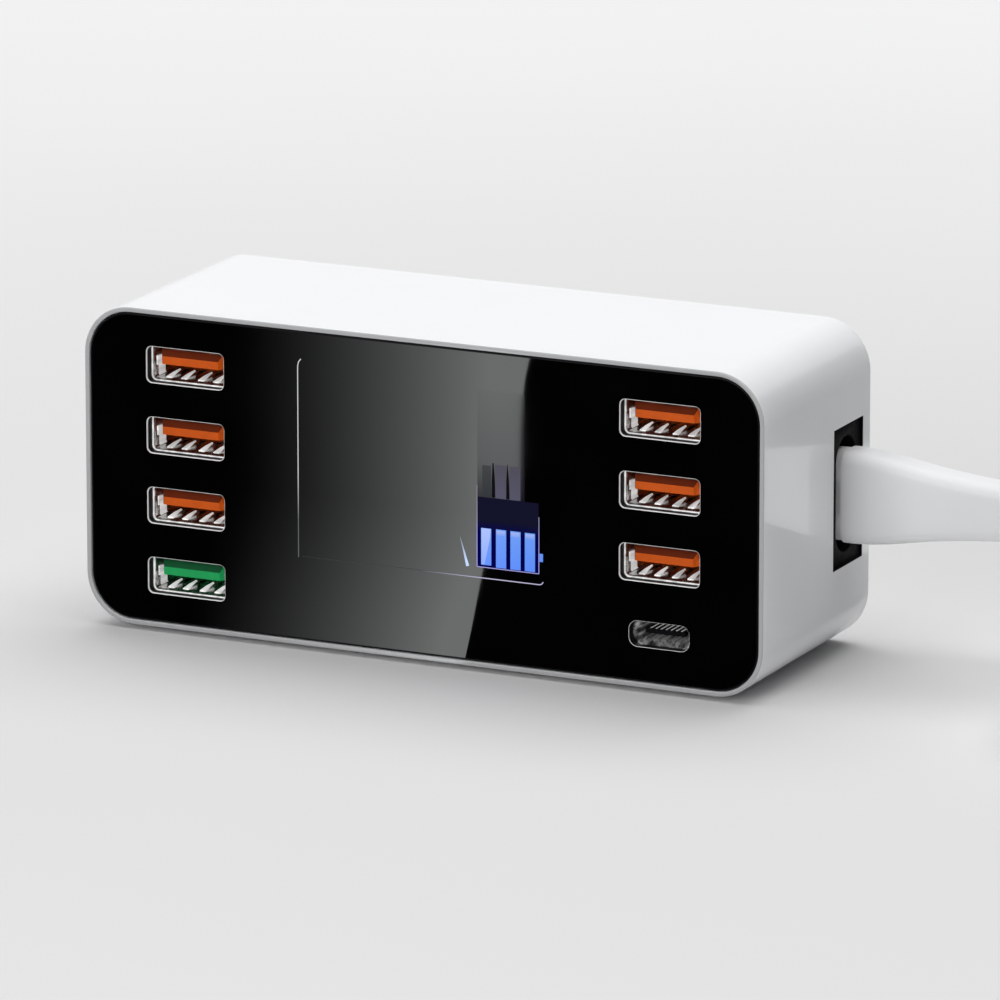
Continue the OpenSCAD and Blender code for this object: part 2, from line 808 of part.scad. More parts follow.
// Glass tube with metal caps, on two legs
module fuse() {
    y = main_board_y - fuse_r - fuse_leg;
    color("lightgray") {
        translate([fuse_x - fuse_l / 2, y, fuse_z])
            rotate([0, 90, 0]) {
                cylinder(h = fuse_l, r = fuse_r - fuse_glass_in);
                cylinder(h = fuse_cap_l, r = fuse_r);
                translate([0, 0, fuse_l - fuse_cap_l]) cylinder(h = fuse_cap_l, r = fuse_r);
            }
        for (s = [-1, 1])
            block([fuse_x + s * (fuse_l - fuse_cap_l) / 2, fuse_z], y,
                  [fuse_leg_w, fuse_r + fuse_leg, fuse_leg_w]);
    }
}

module bridge_rectifier() {
    color([0.1, 0.1, 0.1])
    block([bridge_x, bridge_z], main_board_y - bridge[1], bridge);
}

// Two folded aluminium plates
module heat_sinks() {
    color("lightsteelblue") {
        block([top_sink_x, top_sink_z], main_board_y - sink_h, [sink_l, sink_h, sink_t]);
        block([top_sink_x, top_sink_z - sink_fold / 2 + sink_t / 2], main_board_y - sink_h,
              [sink_l, sink_t, sink_fold]);
        block([side_sink_x, side_sink_z], main_board_y - sink_h, [sink_t, sink_h, sink_l]);
        block([side_sink_x - sink_fold / 2 + sink_t / 2, side_sink_z], main_board_y - sink_h,
              [sink_fold, sink_t, sink_l]);
    }
}

// The transistors are clipped to the heat sinks, behind their folds
module power_transistors() {
    depth = sink_h - sink_t;
    from_sink = (sink_t + transistor[2]) / 2;
    color([0.1, 0.1, 0.1]) {
        block([top_sink_x + transistor_shift[0], top_sink_z - from_sink], main_board_y - depth,
              [transistor[0], depth, transistor[2]]);
        block([side_sink_x - from_sink, side_sink_z + transistor_shift[1]], main_board_y - depth,
              [transistor[2], depth, transistor[0]]);
    }
}

module control_chips() {
    color([0.1, 0.1, 0.1])
    for (x = [-port_x, port_x], z = port_z)
        block([x, z], port_board_back, chip);
}

// Black inlet with a figure-8 cavity and two ears behind the housing's wall
module mains_inlet() {
    color([0.08, 0.08, 0.09])
    difference() {
        union() {
            translate([inlet_back_x, inlet_y - inlet_w / 2 + inlet_gap, inlet_z - inlet_h / 2 + inlet_gap])
                cube([inlet_depth, inlet_w - 2 * inlet_gap, inlet_h - 2 * inlet_gap]);
            translate([inner_w / 2 - inlet_ear_t, inlet_y - inlet_w / 2 + inlet_gap,
                       inlet_z - inlet_h / 2 - inlet_ear])
                cube([inlet_ear_t, inlet_w - 2 * inlet_gap, inlet_h + 2 * inlet_ear]);
        }
        translate([0, inlet_y, inlet_z])
            along_x(inlet_face_x - cavity_depth, cavity_depth + 1)
                figure_eight(cavity_r, cavity_z, cavity_waist);
        for (s = [-1, 1])
            translate([inlet_back_x - 1, inlet_y, inlet_z + s * pin_z])
                rotate([0, 90, 0])
                    cylinder(h = inlet_depth - cavity_depth + 2, r = pin_r);
    }
}

// Round pins with flat tails that reach the main board
module inlet_pins() {
    root_x = inlet_face_x - cavity_depth;
    color("silver")
    for (s = [-1, 1])
        translate([0, inlet_y, inlet_z + s * pin_z]) {
            translate([inlet_back_x, 0, 0])
                rotate([0, 90, 0])
                    rotate_extrude()
                        polygon([[0, 0], [pin_r, 0], [pin_r, root_x - inlet_back_x + pin_l - 0.6],
                                 [pin_r - 0.6, root_x - inlet_back_x + pin_l],
                                 [0, root_x - inlet_back_x + pin_l]]);
            translate([inlet_back_x - tail_l, -tail_t / 2, -tail_w / 2])
                cube([tail_l, tail_t, tail_w]);
            translate([inlet_back_x - tail_l, -tail_t / 2, -tail_w / 2])
                cube([tail_t, main_board_y - inlet_y + tail_t / 2, tail_w]);
        }
}

// Four round rubber feet, each set a little way into the housing
module feet() {
    color([0.15, 0.15, 0.15])
    for (p = foot_at)
        translate([p[0], p[1], 0])
            rotate_extrude()
                polygon([[0, 0], [foot_r - 0.4, 0], [foot_r, 0.4], [foot_r, foot_h + foot_sink],
                         [0, foot_h + foot_sink]]);
}

// Moulded connector: a figure-8 nose and a flat grip that narrows into the strain relief
module cord_connector() {
    nose_x = inlet_face_x - cavity_depth + nose_gap;
    color("white")
    difference() {
        union() {
            translate([body_w / 2, inlet_y, inlet_z])
                skin([for (f = connector_form)
                    grip_ring(f[0], f[2], f[1], min(connector_round, f[1] - 0.4, f[2] - 0.4))]);
            translate([0, inlet_y, inlet_z])
                along_x(nose_x, body_w / 2 + 0.6 - nose_x) figure_eight(nose_r, nose_z, nose_waist);
        }
        for (s = [-1, 1])
            translate([nose_x - 1, inlet_y, inlet_z + s * pin_z])
                rotate([0, 90, 0])
                    cylinder(h = contact_sleeve_l + 1, r = contact_sleeve_r);
    }
}

module connector_contacts() {
    nose_x = inlet_face_x - cavity_depth + nose_gap;
    color("gold")
    for (s = [-1, 1])
        translate([nose_x, inlet_y, inlet_z + s * pin_z])
            rotate([0, 90, 0])
                difference() {
                    cylinder(h = contact_sleeve_l, r = contact_sleeve_r);
                    translate([0, 0, -1]) cylinder(h = contact_sleeve_l + 2, r = pin_r + pin_gap);
                }
}

module cord_lead() {
    color("white") cord(lead_route);
}

// The folded turns of the cord: an outline with round ends, where the lead comes in and the tail rises
module cord_hank() {
    run = hank_far[0] - hank_near[0];
    rise = riser_to - riser_from;
    color("white") {
        translate([hank_near[0], hank_near[1], hank_bottom])
            linear_extrude(hank_top - hank_bottom) {
                circle(hank_reach);
                translate([0, -hank_reach]) square([run, 2 * hank_reach]);
                translate(hank_far - hank_near) circle(hank_spread);
            }
        translate(entry_at)
            rotate([0, 90, 0])
                cylinder(h = hank_far[0] - entry_at[0], r = cord_r);
        translate(riser_from)
            rotate([0, -acos(rise[2] / norm(rise)), 0])
                cylinder(h = norm(rise), r = cord_r);
    }
}

module cord_tail() {
    color("white") cord(tail_route);
}

// Flat strap round the hank
module cord_tie() {
    color([0.1, 0.1, 0.1])
    translate([0, hank_near[1], (hank_bottom + hank_top) / 2])
        difference() {
            along_x(tie_x - tie_w / 2, tie_w)
                square([2 * hank_reach + 2 * tie_t, hank_top - hank_bottom + 2 * tie_t], center = true);
            along_x(tie_x - tie_w / 2 - 1, tie_w + 2)
                square([2 * hank_reach, hank_top - hank_bottom], center = true);
        }
}

// Flat two-pin plug with its strain relief, lying on the hank
module plug_body() {
    face_x = plug_form[len(plug_form) - 1][0];
    color("white")
    translate(plug_at)
        difference() {
            union() {
                skin([for (f = plug_form)
                    grip_ring(f[0], f[1], f[2], min(plug_round, f[1] - 0.3, f[2] - 0.3))]);
                for (s = [-1, 1])
                    translate([face_x - 1, s * plug_pin_y, 0])
                        rotate([0, 90, 0])
                            cylinder(h = plug_sleeve_l + 1, r = plug_pin_r);
            }
            for (s = [-1, 1])
                translate([face_x - plug_core_in, s * plug_pin_y, 0])
                    rotate([0, 90, 0])
                        cylinder(h = plug_core_in + plug_sleeve_l + 1, r = plug_core_r);
        }
}

module plug_pins() {
    face_x = plug_form[len(plug_form) - 1][0];
    bare_l = plug_pin_l - plug_sleeve_l;
    core_l = plug_core_in + plug_sleeve_l;
    tip = core_l + bare_l;
    color("silver")
    translate(plug_at)
        for (s = [-1, 1])
            translate([face_x - plug_core_in, s * plug_pin_y, 0])
                rotate([0, 90, 0])
                    rotate_extrude()
                        polygon([[0, 0], [plug_core_r, 0], [plug_core_r, core_l], [plug_pin_r, core_l],
                                 [plug_pin_r, tip - 1.5], [plug_pin_r - 0.5, tip - 0.5],
                                 [plug_pin_r - 1, tip], [0, tip]]);
}

orange = [0.85, 0.33, 0.08];
green = [0.1, 0.55, 0.28];

housing();
front_panel();
front_frame();
display_cell();
display_backlight();
display_board();
display_header();
port_board();
port_board_screws();
usb_a_shell(1);  // usb_a_shell_1
usb_a_shell(2);  // usb_a_shell_2
usb_a_shell(3);  // usb_a_shell_3
usb_a_shell(4);  // usb_a_shell_4
usb_a_shell(5);  // usb_a_shell_5
usb_a_shell(6);  // usb_a_shell_6
usb_a_shell(7);  // usb_a_shell_7
usb_a_tongue(1, orange);  // usb_a_tongue_1
usb_a_tongue(2, orange);  // usb_a_tongue_2
usb_a_tongue(3, orange);  // usb_a_tongue_3
usb_a_tongue(4, green);  // usb_a_tongue_4
usb_a_tongue(5, orange);  // usb_a_tongue_5
usb_a_tongue(6, orange);  // usb_a_tongue_6
usb_a_tongue(7, orange);  // usb_a_tongue_7
usb_a_contacts(1);  // usb_a_contacts_1
usb_a_contacts(2);  // usb_a_contacts_2
usb_a_contacts(3);  // usb_a_contacts_3
usb_a_contacts(4);  // usb_a_contacts_4
usb_a_contacts(5);  // usb_a_contacts_5
usb_a_contacts(6);  // usb_a_contacts_6
usb_a_contacts(7);  // usb_a_contacts_7
usb_c_shell();
usb_c_tongue();
usb_c_contacts();
main_board();
main_board_screws();
link_header();
transformer_core();
transformer_winding();
mains_capacitors();
output_capacitors();
choke_core();
choke_winding();
filter_capacitor();
fuse();
bridge_rectifier();
heat_sinks();
power_transistors();
control_chips();
mains_inlet();
inlet_pins();
feet();
cord_connector();
connector_contacts();
cord_lead();
cord_hank();
cord_tail();
cord_tie();
plug_body();
plug_pins();
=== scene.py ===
# %% [markdown]
# # A desk charger with eight USB sockets
# The charger is a white moulded shell, closed at the back like a bucket. A glossy black sheet covers its
# front, with a cut-out for each socket, and a mains lead plugs into its right side.
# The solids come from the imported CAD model. This script gives them their finish, and remakes the pieces
# whose soft edges and smooth curves the CAD model leaves plain. Run the cells in order, because each one uses
# what the cells above it made.

import math
from contextlib import contextmanager

import bmesh
import bpy
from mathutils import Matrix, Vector


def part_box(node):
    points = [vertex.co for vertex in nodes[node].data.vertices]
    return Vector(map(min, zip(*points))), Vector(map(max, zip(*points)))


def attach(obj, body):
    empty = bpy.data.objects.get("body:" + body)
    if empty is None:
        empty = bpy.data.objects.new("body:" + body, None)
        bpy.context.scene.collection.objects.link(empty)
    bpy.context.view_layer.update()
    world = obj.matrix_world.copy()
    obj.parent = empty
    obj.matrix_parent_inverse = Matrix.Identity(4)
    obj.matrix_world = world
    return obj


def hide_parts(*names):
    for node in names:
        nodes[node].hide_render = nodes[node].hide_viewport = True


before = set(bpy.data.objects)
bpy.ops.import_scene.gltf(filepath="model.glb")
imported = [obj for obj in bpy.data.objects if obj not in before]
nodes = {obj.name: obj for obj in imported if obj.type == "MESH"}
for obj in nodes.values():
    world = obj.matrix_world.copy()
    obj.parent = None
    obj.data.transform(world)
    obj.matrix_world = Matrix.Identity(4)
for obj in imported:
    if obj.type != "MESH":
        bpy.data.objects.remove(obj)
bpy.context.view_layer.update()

# %% [markdown]
# ## Sizes
# They repeat the CAD model's sizes, in millimetres. They could be measured on the loaded solids instead, but a
# name says what a number is for. `mm` turns them into Blender's metres at the last moment, so that every
# number in the script can be read on a ruler.

# %% Sizes in millimetres
body_w, body_h, body_d = 117.0, 51.5, 42.0
corner_r, wall, lip, foot_h = 8.0, 2.2, 0.75, 0.8
panel_t, panel_recess, panel_gap = 1.6, 0.25, 0.15
front_y, back_y = -body_d / 2, body_d / 2
mid_z = foot_h + body_h / 2
panel_y = front_y + panel_recess
seat_y = panel_y + panel_t
inlet_y, inlet_z = back_y - 9.25, mid_z - 0.15
inlet_w, inlet_h = 11.5, 22.7
slot_w, slot_h, slot_r = 13.8, 6.2, 0.9
slot_c_w, slot_c_h = 10.4, 4.3
usb_a_places = [(-40.9, z) for z in (43.5, 32.1, 20.7, 9.3)] + [(40.9, z) for z in (43.5, 32.1, 20.7)]
usb_c_place = (40.9, 9.3)


def mm(*values):
    """Millimetres to metres, as one number or as a point."""
    return values[0] / 1000 if len(values) == 1 else Vector([v / 1000 for v in values])


print("front", body_w, "by", body_h, "mm, depth", body_d, "mm, USB-A sockets", len(usb_a_places))

# %% [markdown]
# ## Camera
# The photograph is taken from a little above and from the right, with a long lens. The camera could be turned
# by eye until the picture fits. Here the yaw and pitch come from the vanishing lines of the housing, and the
# distance from how little its far side shrinks, so every edge falls where the photograph has it.

# %% Camera
yaw, pitch = math.radians(25.28), math.radians(14.32)
looks_at, eye_distance = mm(13.9, -21, 28.1), 1.49
view_line = Vector((-math.sin(yaw) * math.cos(pitch), math.cos(yaw) * math.cos(pitch), -math.sin(pitch)))
camera = bpy.data.objects.new("camera", bpy.data.cameras.new("camera"))
bpy.context.scene.collection.objects.link(camera)
camera.location = looks_at - view_line * eye_distance
camera.rotation_euler = view_line.to_track_quat("-Z", "Y").to_euler()
camera.data.sensor_width, camera.data.lens = 36, 346.3
camera.data.clip_start, camera.data.clip_end = 0.05, 20
bpy.context.scene.camera = camera
print("camera at", [round(c, 3) for c in camera.location])

# %% [markdown]
# ## Helpers for shapes
# Most pieces here are lofts: one outline after another, joined like the ribs of a boat. A bevelled box is
# quicker to make, but it can't narrow, flare or fold along its way as a moulding or a sheet does. `loft` joins
# rings that have the same number of points, and closes both ends.


# %% Mesh pieces and lofts
def mesh_piece(name, points, faces, smooth=True):
    """An object at the origin, with its place in its mesh. Points are in millimetres."""
    data = bpy.data.meshes.new(name)
    data.from_pydata([mm(*p) for p in points], [], faces)
    data.validate()
    for polygon in data.polygons:
        polygon.use_smooth = smooth
    piece = bpy.data.objects.new(name, data)
    bpy.context.scene.collection.objects.link(piece)
    return piece


@contextmanager
def edited(piece):
    """Opens a piece's mesh for editing, and writes it back at the end."""
    work = bmesh.new()
    work.from_mesh(piece.data)
    yield work
    work.to_mesh(piece.data)
    work.free()


def loft(name, rings, smooth=True, tube=False):
    """A closed skin over rings of points. A tube is open at both ends, so its last ring joins its first."""
    n = len(rings[0])
    points = [p for ring in rings for p in ring]
    order = list(range(len(rings))) + ([0] if tube else [])
    faces = [(i * n + k, i * n + (k + 1) % n, j * n + (k + 1) % n, j * n + k)
             for i, j in zip(order, order[1:]) for k in range(n)]
    if not tube:
        faces.append(tuple(reversed(range(n))))
        faces.append(tuple((len(rings) - 1) * n + k for k in range(n)))
    piece = mesh_piece(name, points, faces, smooth)
    with edited(piece) as work:
        bmesh.ops.recalc_face_normals(work, faces=work.faces)
    return piece


def rounded(w, h, r, steps=8):
    """Points of a rectangle with round corners, in its own plane, counter-clockwise."""
    points = []
    for q, (sx, sy) in enumerate(((1, 1), (-1, 1), (-1, -1), (1, -1))):
        for k in range(steps + 1):
            a = math.radians(90 * q + 90 * k / steps)
            points.append((sx * (w / 2 - r) + r * math.cos(a), sy * (h / 2 - r) + r * math.sin(a)))
    return points


print("points on a rounded rectangle:", len(rounded(2, 1, 0.2)))

# %% [markdown]
# ## Helpers for finishes
# No real surface has one flat colour and one even gloss. A photograph of a surface could be wrapped round a
# piece, but it needs unwrapping and blurs close up. So every finish here is made of nodes, with patterns that
# read Object coordinates and therefore stay on the piece. Each helper adds one or two nodes.


# %% Node helpers
def empty_finish(name):
    """A new material, its node tree and its shader node."""
    finish = bpy.data.materials.new(name)
    finish.use_nodes = True
    tree = finish.node_tree
    shader = tree.nodes["Principled BSDF"]
    return finish, tree, shader


def noise_of(tree, scale, detail=4.0):
    """A soft noise on Object coordinates."""
    place = tree.nodes.new("ShaderNodeTexCoord")
    noise = tree.nodes.new("ShaderNodeTexNoise")
    noise.inputs["Scale"].default_value = scale
    noise.inputs["Detail"].default_value = detail
    noise.inputs["Roughness"].default_value = 0.55
    tree.links.new(place.outputs["Object"], noise.inputs["Vector"])
    return noise


def ramp_of(tree, source, low, high, start=0.35, end=0.65):
    """A colour that runs from low to high while the source runs from start to end."""
    ramp = tree.nodes.new("ShaderNodeValToRGB")
    ramp.color_ramp.elements[0].position = start
    ramp.color_ramp.elements[1].position = end
    ramp.color_ramp.elements[0].color = low
    ramp.color_ramp.elements[1].color = high
    tree.links.new(source, ramp.inputs["Fac"])
    return ramp


def relief_of(tree, source, strength, height):
    """A fine bump that follows the source, up to a height in millimetres."""
    relief = tree.nodes.new("ShaderNodeBump")
    relief.inputs["Strength"].default_value = strength
    relief.inputs["Distance"].default_value = mm(height)
    tree.links.new(source, relief.inputs["Height"])
    return relief


def shade(colour, factor):
    """A colour made darker or lighter, never above 1."""
    return (*[min(1.0, c * factor) for c in colour[:3]], 1.0)


def grey(value):
    return (value, value, value, 1.0)


print("a tenth darker than mid grey:", [round(c, 2) for c in shade(grey(0.5), 0.9)])

# %% [markdown]
# ## Moulded plastic
# The housing is white plastic with a clear gloss over it, and the connector and the cord are duller vinyl. A
# moulding takes its gloss from the mould: polished, but broken up by a fine grain, with a colour that drifts a
# little over centimetres. One white and one black could serve for all, but gloss is what tells plastic from
# vinyl. So one helper makes each finish from its own colour, roughness, grain and coat.


# %% Moulded plastic
def moulded(name, colour, rough=(0.28, 0.36), grain=1400, bump=0.004, spread=0.03, coat=0.0, level=0.5):
    """Rough is the least and most roughness, grain the noise's scale, and spread the colour's drift."""
    finish, tree, shader = empty_finish(name)
    drift = noise_of(tree, 45, 2)
    fine = noise_of(tree, grain, 5)
    tint = ramp_of(tree, drift.outputs["Fac"], shade(colour, 1 - spread), shade(colour, 1 + spread))
    gloss = ramp_of(tree, fine.outputs["Fac"], grey(rough[0]), grey(rough[1]))
    relief = relief_of(tree, fine.outputs["Fac"], 0.25, bump)
    tree.links.new(tint.outputs["Color"], shader.inputs["Base Color"])
    tree.links.new(gloss.outputs["Color"], shader.inputs["Roughness"])
    tree.links.new(relief.outputs["Normal"], shader.inputs["Normal"])
    shader.inputs["Specular IOR Level"].default_value = level
    shader.inputs["Coat Weight"].default_value = coat
    shader.inputs["Coat Roughness"].default_value = 0.06
    return finish


white_shell = moulded("white shell", (0.875, 0.882, 0.892), rough=(0.36, 0.44), spread=0.008, coat=0.6)
vinyl = moulded("white vinyl", (0.79, 0.795, 0.8), rough=(0.4, 0.5), grain=2200, spread=0.012, level=0.3)
black_plastic = moulded("black plastic", (0.018, 0.018, 0.02), rough=(0.38, 0.5))
inlet_black = moulded("inlet black", (0.006, 0.006, 0.007), rough=(0.45, 0.6), level=0.03)
strap_cloth = moulded("strap cloth", (0.02, 0.02, 0.022), rough=(0.75, 0.9), grain=3200, bump=0.08, spread=0.2)
smoked_glass = moulded("display glass", (0.03, 0.035, 0.06), rough=(0.05, 0.09), spread=0.1)
print("finishes of plastic, vinyl, cloth and glass:", len(bpy.data.materials))

# %% [markdown]
# ## Sheet metal
# The sockets are folded from tinned sheet, with gold on the contacts. They are bright at the mouth with painted
# light, a glow in the sheet, and darker inside.
# Rolled sheet and drawn pins have streaks in one direction. They could be modelled, but at this size they
# only change how sharp a reflection is. So one noise, stretched along the streaks, drives the tint, the
# roughness and a bump of a few thousandths of a millimetre.


# %% Sheet metal
def metal(name, colour, rough=(0.16, 0.3), stretch=(900, 60, 900), share=1.0, low=0.9, glow=0.0):
    """Share is how metallic it is, and low how dark its streaks are. Glow makes up for the light that bounces
    about inside a real socket."""
    finish, tree, shader = empty_finish(name)
    place = tree.nodes.new("ShaderNodeTexCoord")
    turn = tree.nodes.new("ShaderNodeMapping")
    turn.inputs["Scale"].default_value = stretch
    noise = tree.nodes.new("ShaderNodeTexNoise")
    noise.inputs["Scale"].default_value = 1.0
    noise.inputs["Detail"].default_value = 4.0
    tree.links.new(place.outputs["Object"], turn.inputs["Vector"])
    tree.links.new(turn.outputs["Vector"], noise.inputs["Vector"])
    tint = ramp_of(tree, noise.outputs["Fac"], shade(colour, low), shade(colour, 1.05))
    gloss = ramp_of(tree, noise.outputs["Fac"], grey(rough[0]), grey(rough[1]))
    relief = relief_of(tree, noise.outputs["Fac"], 0.3, 0.002)
    tree.links.new(tint.outputs["Color"], shader.inputs["Base Color"])
    tree.links.new(tint.outputs["Color"], shader.inputs["Emission Color"])
    tree.links.new(gloss.outputs["Color"], shader.inputs["Roughness"])
    tree.links.new(relief.outputs["Normal"], shader.inputs["Normal"])
    shader.inputs["Metallic"].default_value = share
    shader.inputs["Emission Strength"].default_value = glow
    return finish


nickel = metal("nickel sheet", (0.78, 0.77, 0.75), low=0.55)
# The tinned sheet glows: painted light on the faces of the sockets that are marked bright.
tin_with_painted_light = metal("tinned sheet", (0.95, 0.945, 0.94), rough=(0.3, 0.45), share=0.1, low=0.6, glow=0.5)
# The drawn sheet of the USB-C shell glows a little: painted light.
drawn_sheet = metal("drawn sheet", (0.85, 0.85, 0.85), rough=(0.15, 0.35), stretch=(1300, 130, 1300), share=0.8,
                    low=0.08, glow=0.05)
# The contact plating of the USB-C strips glows: painted light.
contact_tin = metal("contact plating", (0.8, 0.8, 0.8), rough=(0.25, 0.4), share=0.2, glow=0.2)
gold = metal("gold plate", (0.86, 0.62, 0.28))
print("finishes with the metals:", len(bpy.data.materials))

# %% [markdown]
# ## Finishes of the electronics
# Nothing inside the housing shows in the photograph, but the part may be cut open or looked into. A circuit
# board has a glossy green lacquer, or is plain brown where it carries mains voltage. Cans have shrunk sleeves,
# the transformer a rough dark core under yellow tape, and heat sinks are bare rolled aluminium. These could
# all be grey. The colours cost a line each and tell the pieces apart.

# %% Finishes of what lies inside
steel = metal("zinc steel", (0.62, 0.63, 0.65), stretch=(700, 700, 90))
copper = metal("enamelled copper", (0.72, 0.27, 0.1), stretch=(300, 2600, 300))
aluminium = metal("rolled aluminium", (0.75, 0.76, 0.78))
green_lacquer = moulded("green solder mask", (0.02, 0.17, 0.06), rough=(0.15, 0.25), grain=700, spread=0.15)
brown_board = moulded("phenolic board", (0.4, 0.25, 0.1), rough=(0.3, 0.45), grain=500, spread=0.1)
ferrite = moulded("ferrite", (0.07, 0.07, 0.075), rough=(0.6, 0.75), spread=0.1)
yellow_tape = moulded("yellow tape", (0.75, 0.48, 0.05), rough=(0.25, 0.35), spread=0.05)
blue_sleeve = moulded("blue sleeve", (0.04, 0.08, 0.22), rough=(0.18, 0.26), spread=0.05)
green_sleeve = moulded("green sleeve", (0.03, 0.2, 0.15), rough=(0.18, 0.26), spread=0.05)
green_paint = moulded("core paint", (0.05, 0.18, 0.09), rough=(0.35, 0.5), spread=0.1)
foot_rubber = moulded("foot rubber", (0.03, 0.03, 0.03), rough=(0.7, 0.85), spread=0.1)
diffuser = moulded("white diffuser", (0.85, 0.85, 0.85), rough=(0.5, 0.6), spread=0.01)
print("finishes with the electronics:", len(bpy.data.materials))

# %% [markdown]
# ## Putting pieces on the charger
# Every piece rides on one of the charger's bodies. Nothing on it moves, so there is one, called root. A piece
# that is modelled better here stands for its CAD nodes, which are hidden. A node whose shape is right keeps
# its mesh and gets a better finish, because two meshes in the same place would fight over what is seen.


# %% Mounting and dressing
def mount(piece, stands_for=()):
    """Puts a piece on the charger's one body, and hides the CAD nodes that it stands for."""
    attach(piece, "root")
    if stands_for:
        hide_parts(*stands_for)
    return piece


def dress(piece, finish, stands_for=()):
    """Gives a piece its one finish, and mounts it."""
    piece.data.materials.clear()
    piece.data.materials.append(finish)
    return mount(piece, stands_for)


print("CAD nodes to dress or replace:", len(nodes))

# %% [markdown]
# ## Mains lead
# The photograph shows the moulded connector up to the picture's edge. The rest of the lead is put away beside
# it as a hank, folded in line with the charger and held by a strap, with its plug on top. A curve with a
# round bevel could make it. The route is one smooth line: half turns for the folds, straight runs between
# them, and the points of the CAD model where the cord hangs free.

# %% Route of the cord where it hangs free, in millimetres
cord_r = 2.5
cord_exit = (104.5, 11.75, 26.4)
plug_x, plug_y, plug_z = 152, -7, 17.3
lead_route = [
    cord_exit, (109, 11.75, 26.4), (114, 12.3, 25.9), (119, 13.3, 24.6), (124, 14.6, 22.7),
    (129, 15.9, 20.2), (134, 17.1, 17.5), (139, 18, 14.5), (144, 18.5, 11.6), (149, 18.5, 8.8),
    (154, 18.5, 6.3), (159, 18.5, 4.4), (164, 18.5, 3.35), (170, 18.5, 3.05), (177, 18.5, 3.05),
]
tail_route = [
    (118, -26.8, 13), (115.76, -26.8, 13.4), (111.7, -25.5, 13.9), (106.7, -22.3, 14.1), (103.2, -17.1, 14.4),
    (102, -11, 14.6), (103.2, -4.9, 14.9), (106.7, 0.3, 15.2), (111.9, 3.8, 15.6), (118, 5, 16),
    (124.1, 3.8, 16.4), (129.3, 0.3, 16.7), (133.1, -2.7, 16.9), (137.2, -5, 17.1), (141.7, -6.4, 17.2),
    (147, plug_y, plug_z), (plug_x, plug_y, plug_z),
]
print("free points:", len(lead_route), "before the hank and", len(tail_route), "after it")


# %% Folds and runs of the hank
def fold(x, side, y_from, y_to, z_from, z_to, rise=(0.0, 1.0)):
    """Half a turn of the cord at one end of the hank; side is 1 at the far end and -1 at the near one.
    The cord climbs between the two shares of the turn that rise gives."""
    centre, r, steps = (y_from + y_to) / 2, abs(y_to - y_from) / 2, 14
    points = []
    for k in range(steps + 1):
        t = k / steps
        climb = min(1.0, max(0.0, (t - rise[0]) / (rise[1] - rise[0])))
        climb = climb * climb * (3 - 2 * climb)
        a = math.pi * t
        y = centre + (y_from - centre) * math.cos(a)
        points.append((x + side * r * math.sin(a), y, z_from + (z_to - z_from) * climb))
    return points


def run(y, x_from, x_to, z, steps=8):
    """A straight run, without its two ends."""
    return [(x_from + (x_to - x_from) * k / steps, y, z) for k in range(1, steps)]


# The lead comes in at y 18.5, lies in lanes at y -27, -22, 8 and 13, and crosses over itself at the near end.
near_x, far_x = 118, 193
low, high = 3.0, 8.0
hank_route = (
    run(18.5, 177, far_x, low + 0.05, 3)
    + fold(far_x, 1, 18.5, -27, low, low) + run(-27, far_x, near_x, low)
    + fold(near_x, -1, -27, 13, low, low) + run(13, near_x, far_x, low)
    + fold(far_x, 1, 13, -22, low, low) + run(-22, far_x, near_x, low)
    + fold(near_x, -1, -22, 8, low, high, rise=(0.5, 1.0)) + run(8, near_x, far_x, high)
    + fold(far_x, 1, 8, -22, high, high) + run(-22, far_x, near_x, high)
    + fold(near_x, -1, -22, 13, high, high) + run(13, near_x, far_x, high)
    + fold(far_x, 1, 13, -27, high, high) + run(-27, far_x, 150, high, 5)
    + [(146, -26.9, 8.1), (140, -26.85, 9.0), (132, -26.8, 10.5), (125, -26.8, 11.75)]
)
cord_route = lead_route + hank_route + tail_route


# %% Sweep of a round section along a route
def resampled(route, step):
    """Points a fixed distance apart on a smooth curve through the route."""
    curve = []
    pts = [Vector(p) for p in route]
    for i in range(len(pts) - 1):
        p0 = pts[max(i - 1, 0)]
        p1, p2 = pts[i], pts[i + 1]
        p3 = pts[min(i + 2, len(pts) - 1)]
        n = max(2, round((p2 - p1).length / step))
        for k in range(n):
            t = k / n
            curve.append(0.5 * ((2 * p1) + (p2 - p0) * t + (2 * p0 - 5 * p1 + 4 * p2 - p3) * t * t
                                + (3 * p1 - p0 - 3 * p2 + p3) * t ** 3))
    curve.append(pts[-1])
    return curve


def sweep(name, route, r):
    """A round tube along a route; each ring is carried on from the last one, so the tube never twists."""
    side, sides = Vector((0, 1, 0)), 16
    rings = []
    for i, p in enumerate(route):
        ahead = route[min(i + 1, len(route) - 1)] - route[max(i - 1, 0)]
        ahead.normalize()
        side = (side - ahead * side.dot(ahead)).normalized()
        up = ahead.cross(side)
        rings.append([p + r * (math.cos(2 * math.pi * k / sides) * side + math.sin(2 * math.pi * k / sides) * up)
                      for k in range(sides)])
    return loft(name, rings)


cord_line = resampled(cord_route, 2.6)
cord = sweep("mains_cord", cord_line, cord_r)
dress(cord, vinyl, ["cord_lead", "cord_hank", "cord_tail"])
print("cord tube:", len(cord.data.polygons), "faces")

# %% [markdown]
# ## Connector and plug
# Both are vinyl, moulded over the ends of the cord. A stack of bevelled boxes would show a step at each box,
# and the real grips have none. So each is lofted from rounded rectangles at the distances where its outline
# changes in the photograph, and then smoothed by subdivision. The nose that goes into the inlet is a figure
# of eight with crisp edges, so it is lofted on its own and joined afterwards.


# %% Grip of the connector
def applied(piece):
    """The piece with its modifiers turned into plain mesh."""
    bpy.context.view_layer.update()
    evaluated = piece.evaluated_get(bpy.context.evaluated_depsgraph_get())
    data = bpy.data.meshes.new_from_object(evaluated)
    piece.modifiers.clear()
    piece.data = data
    return piece


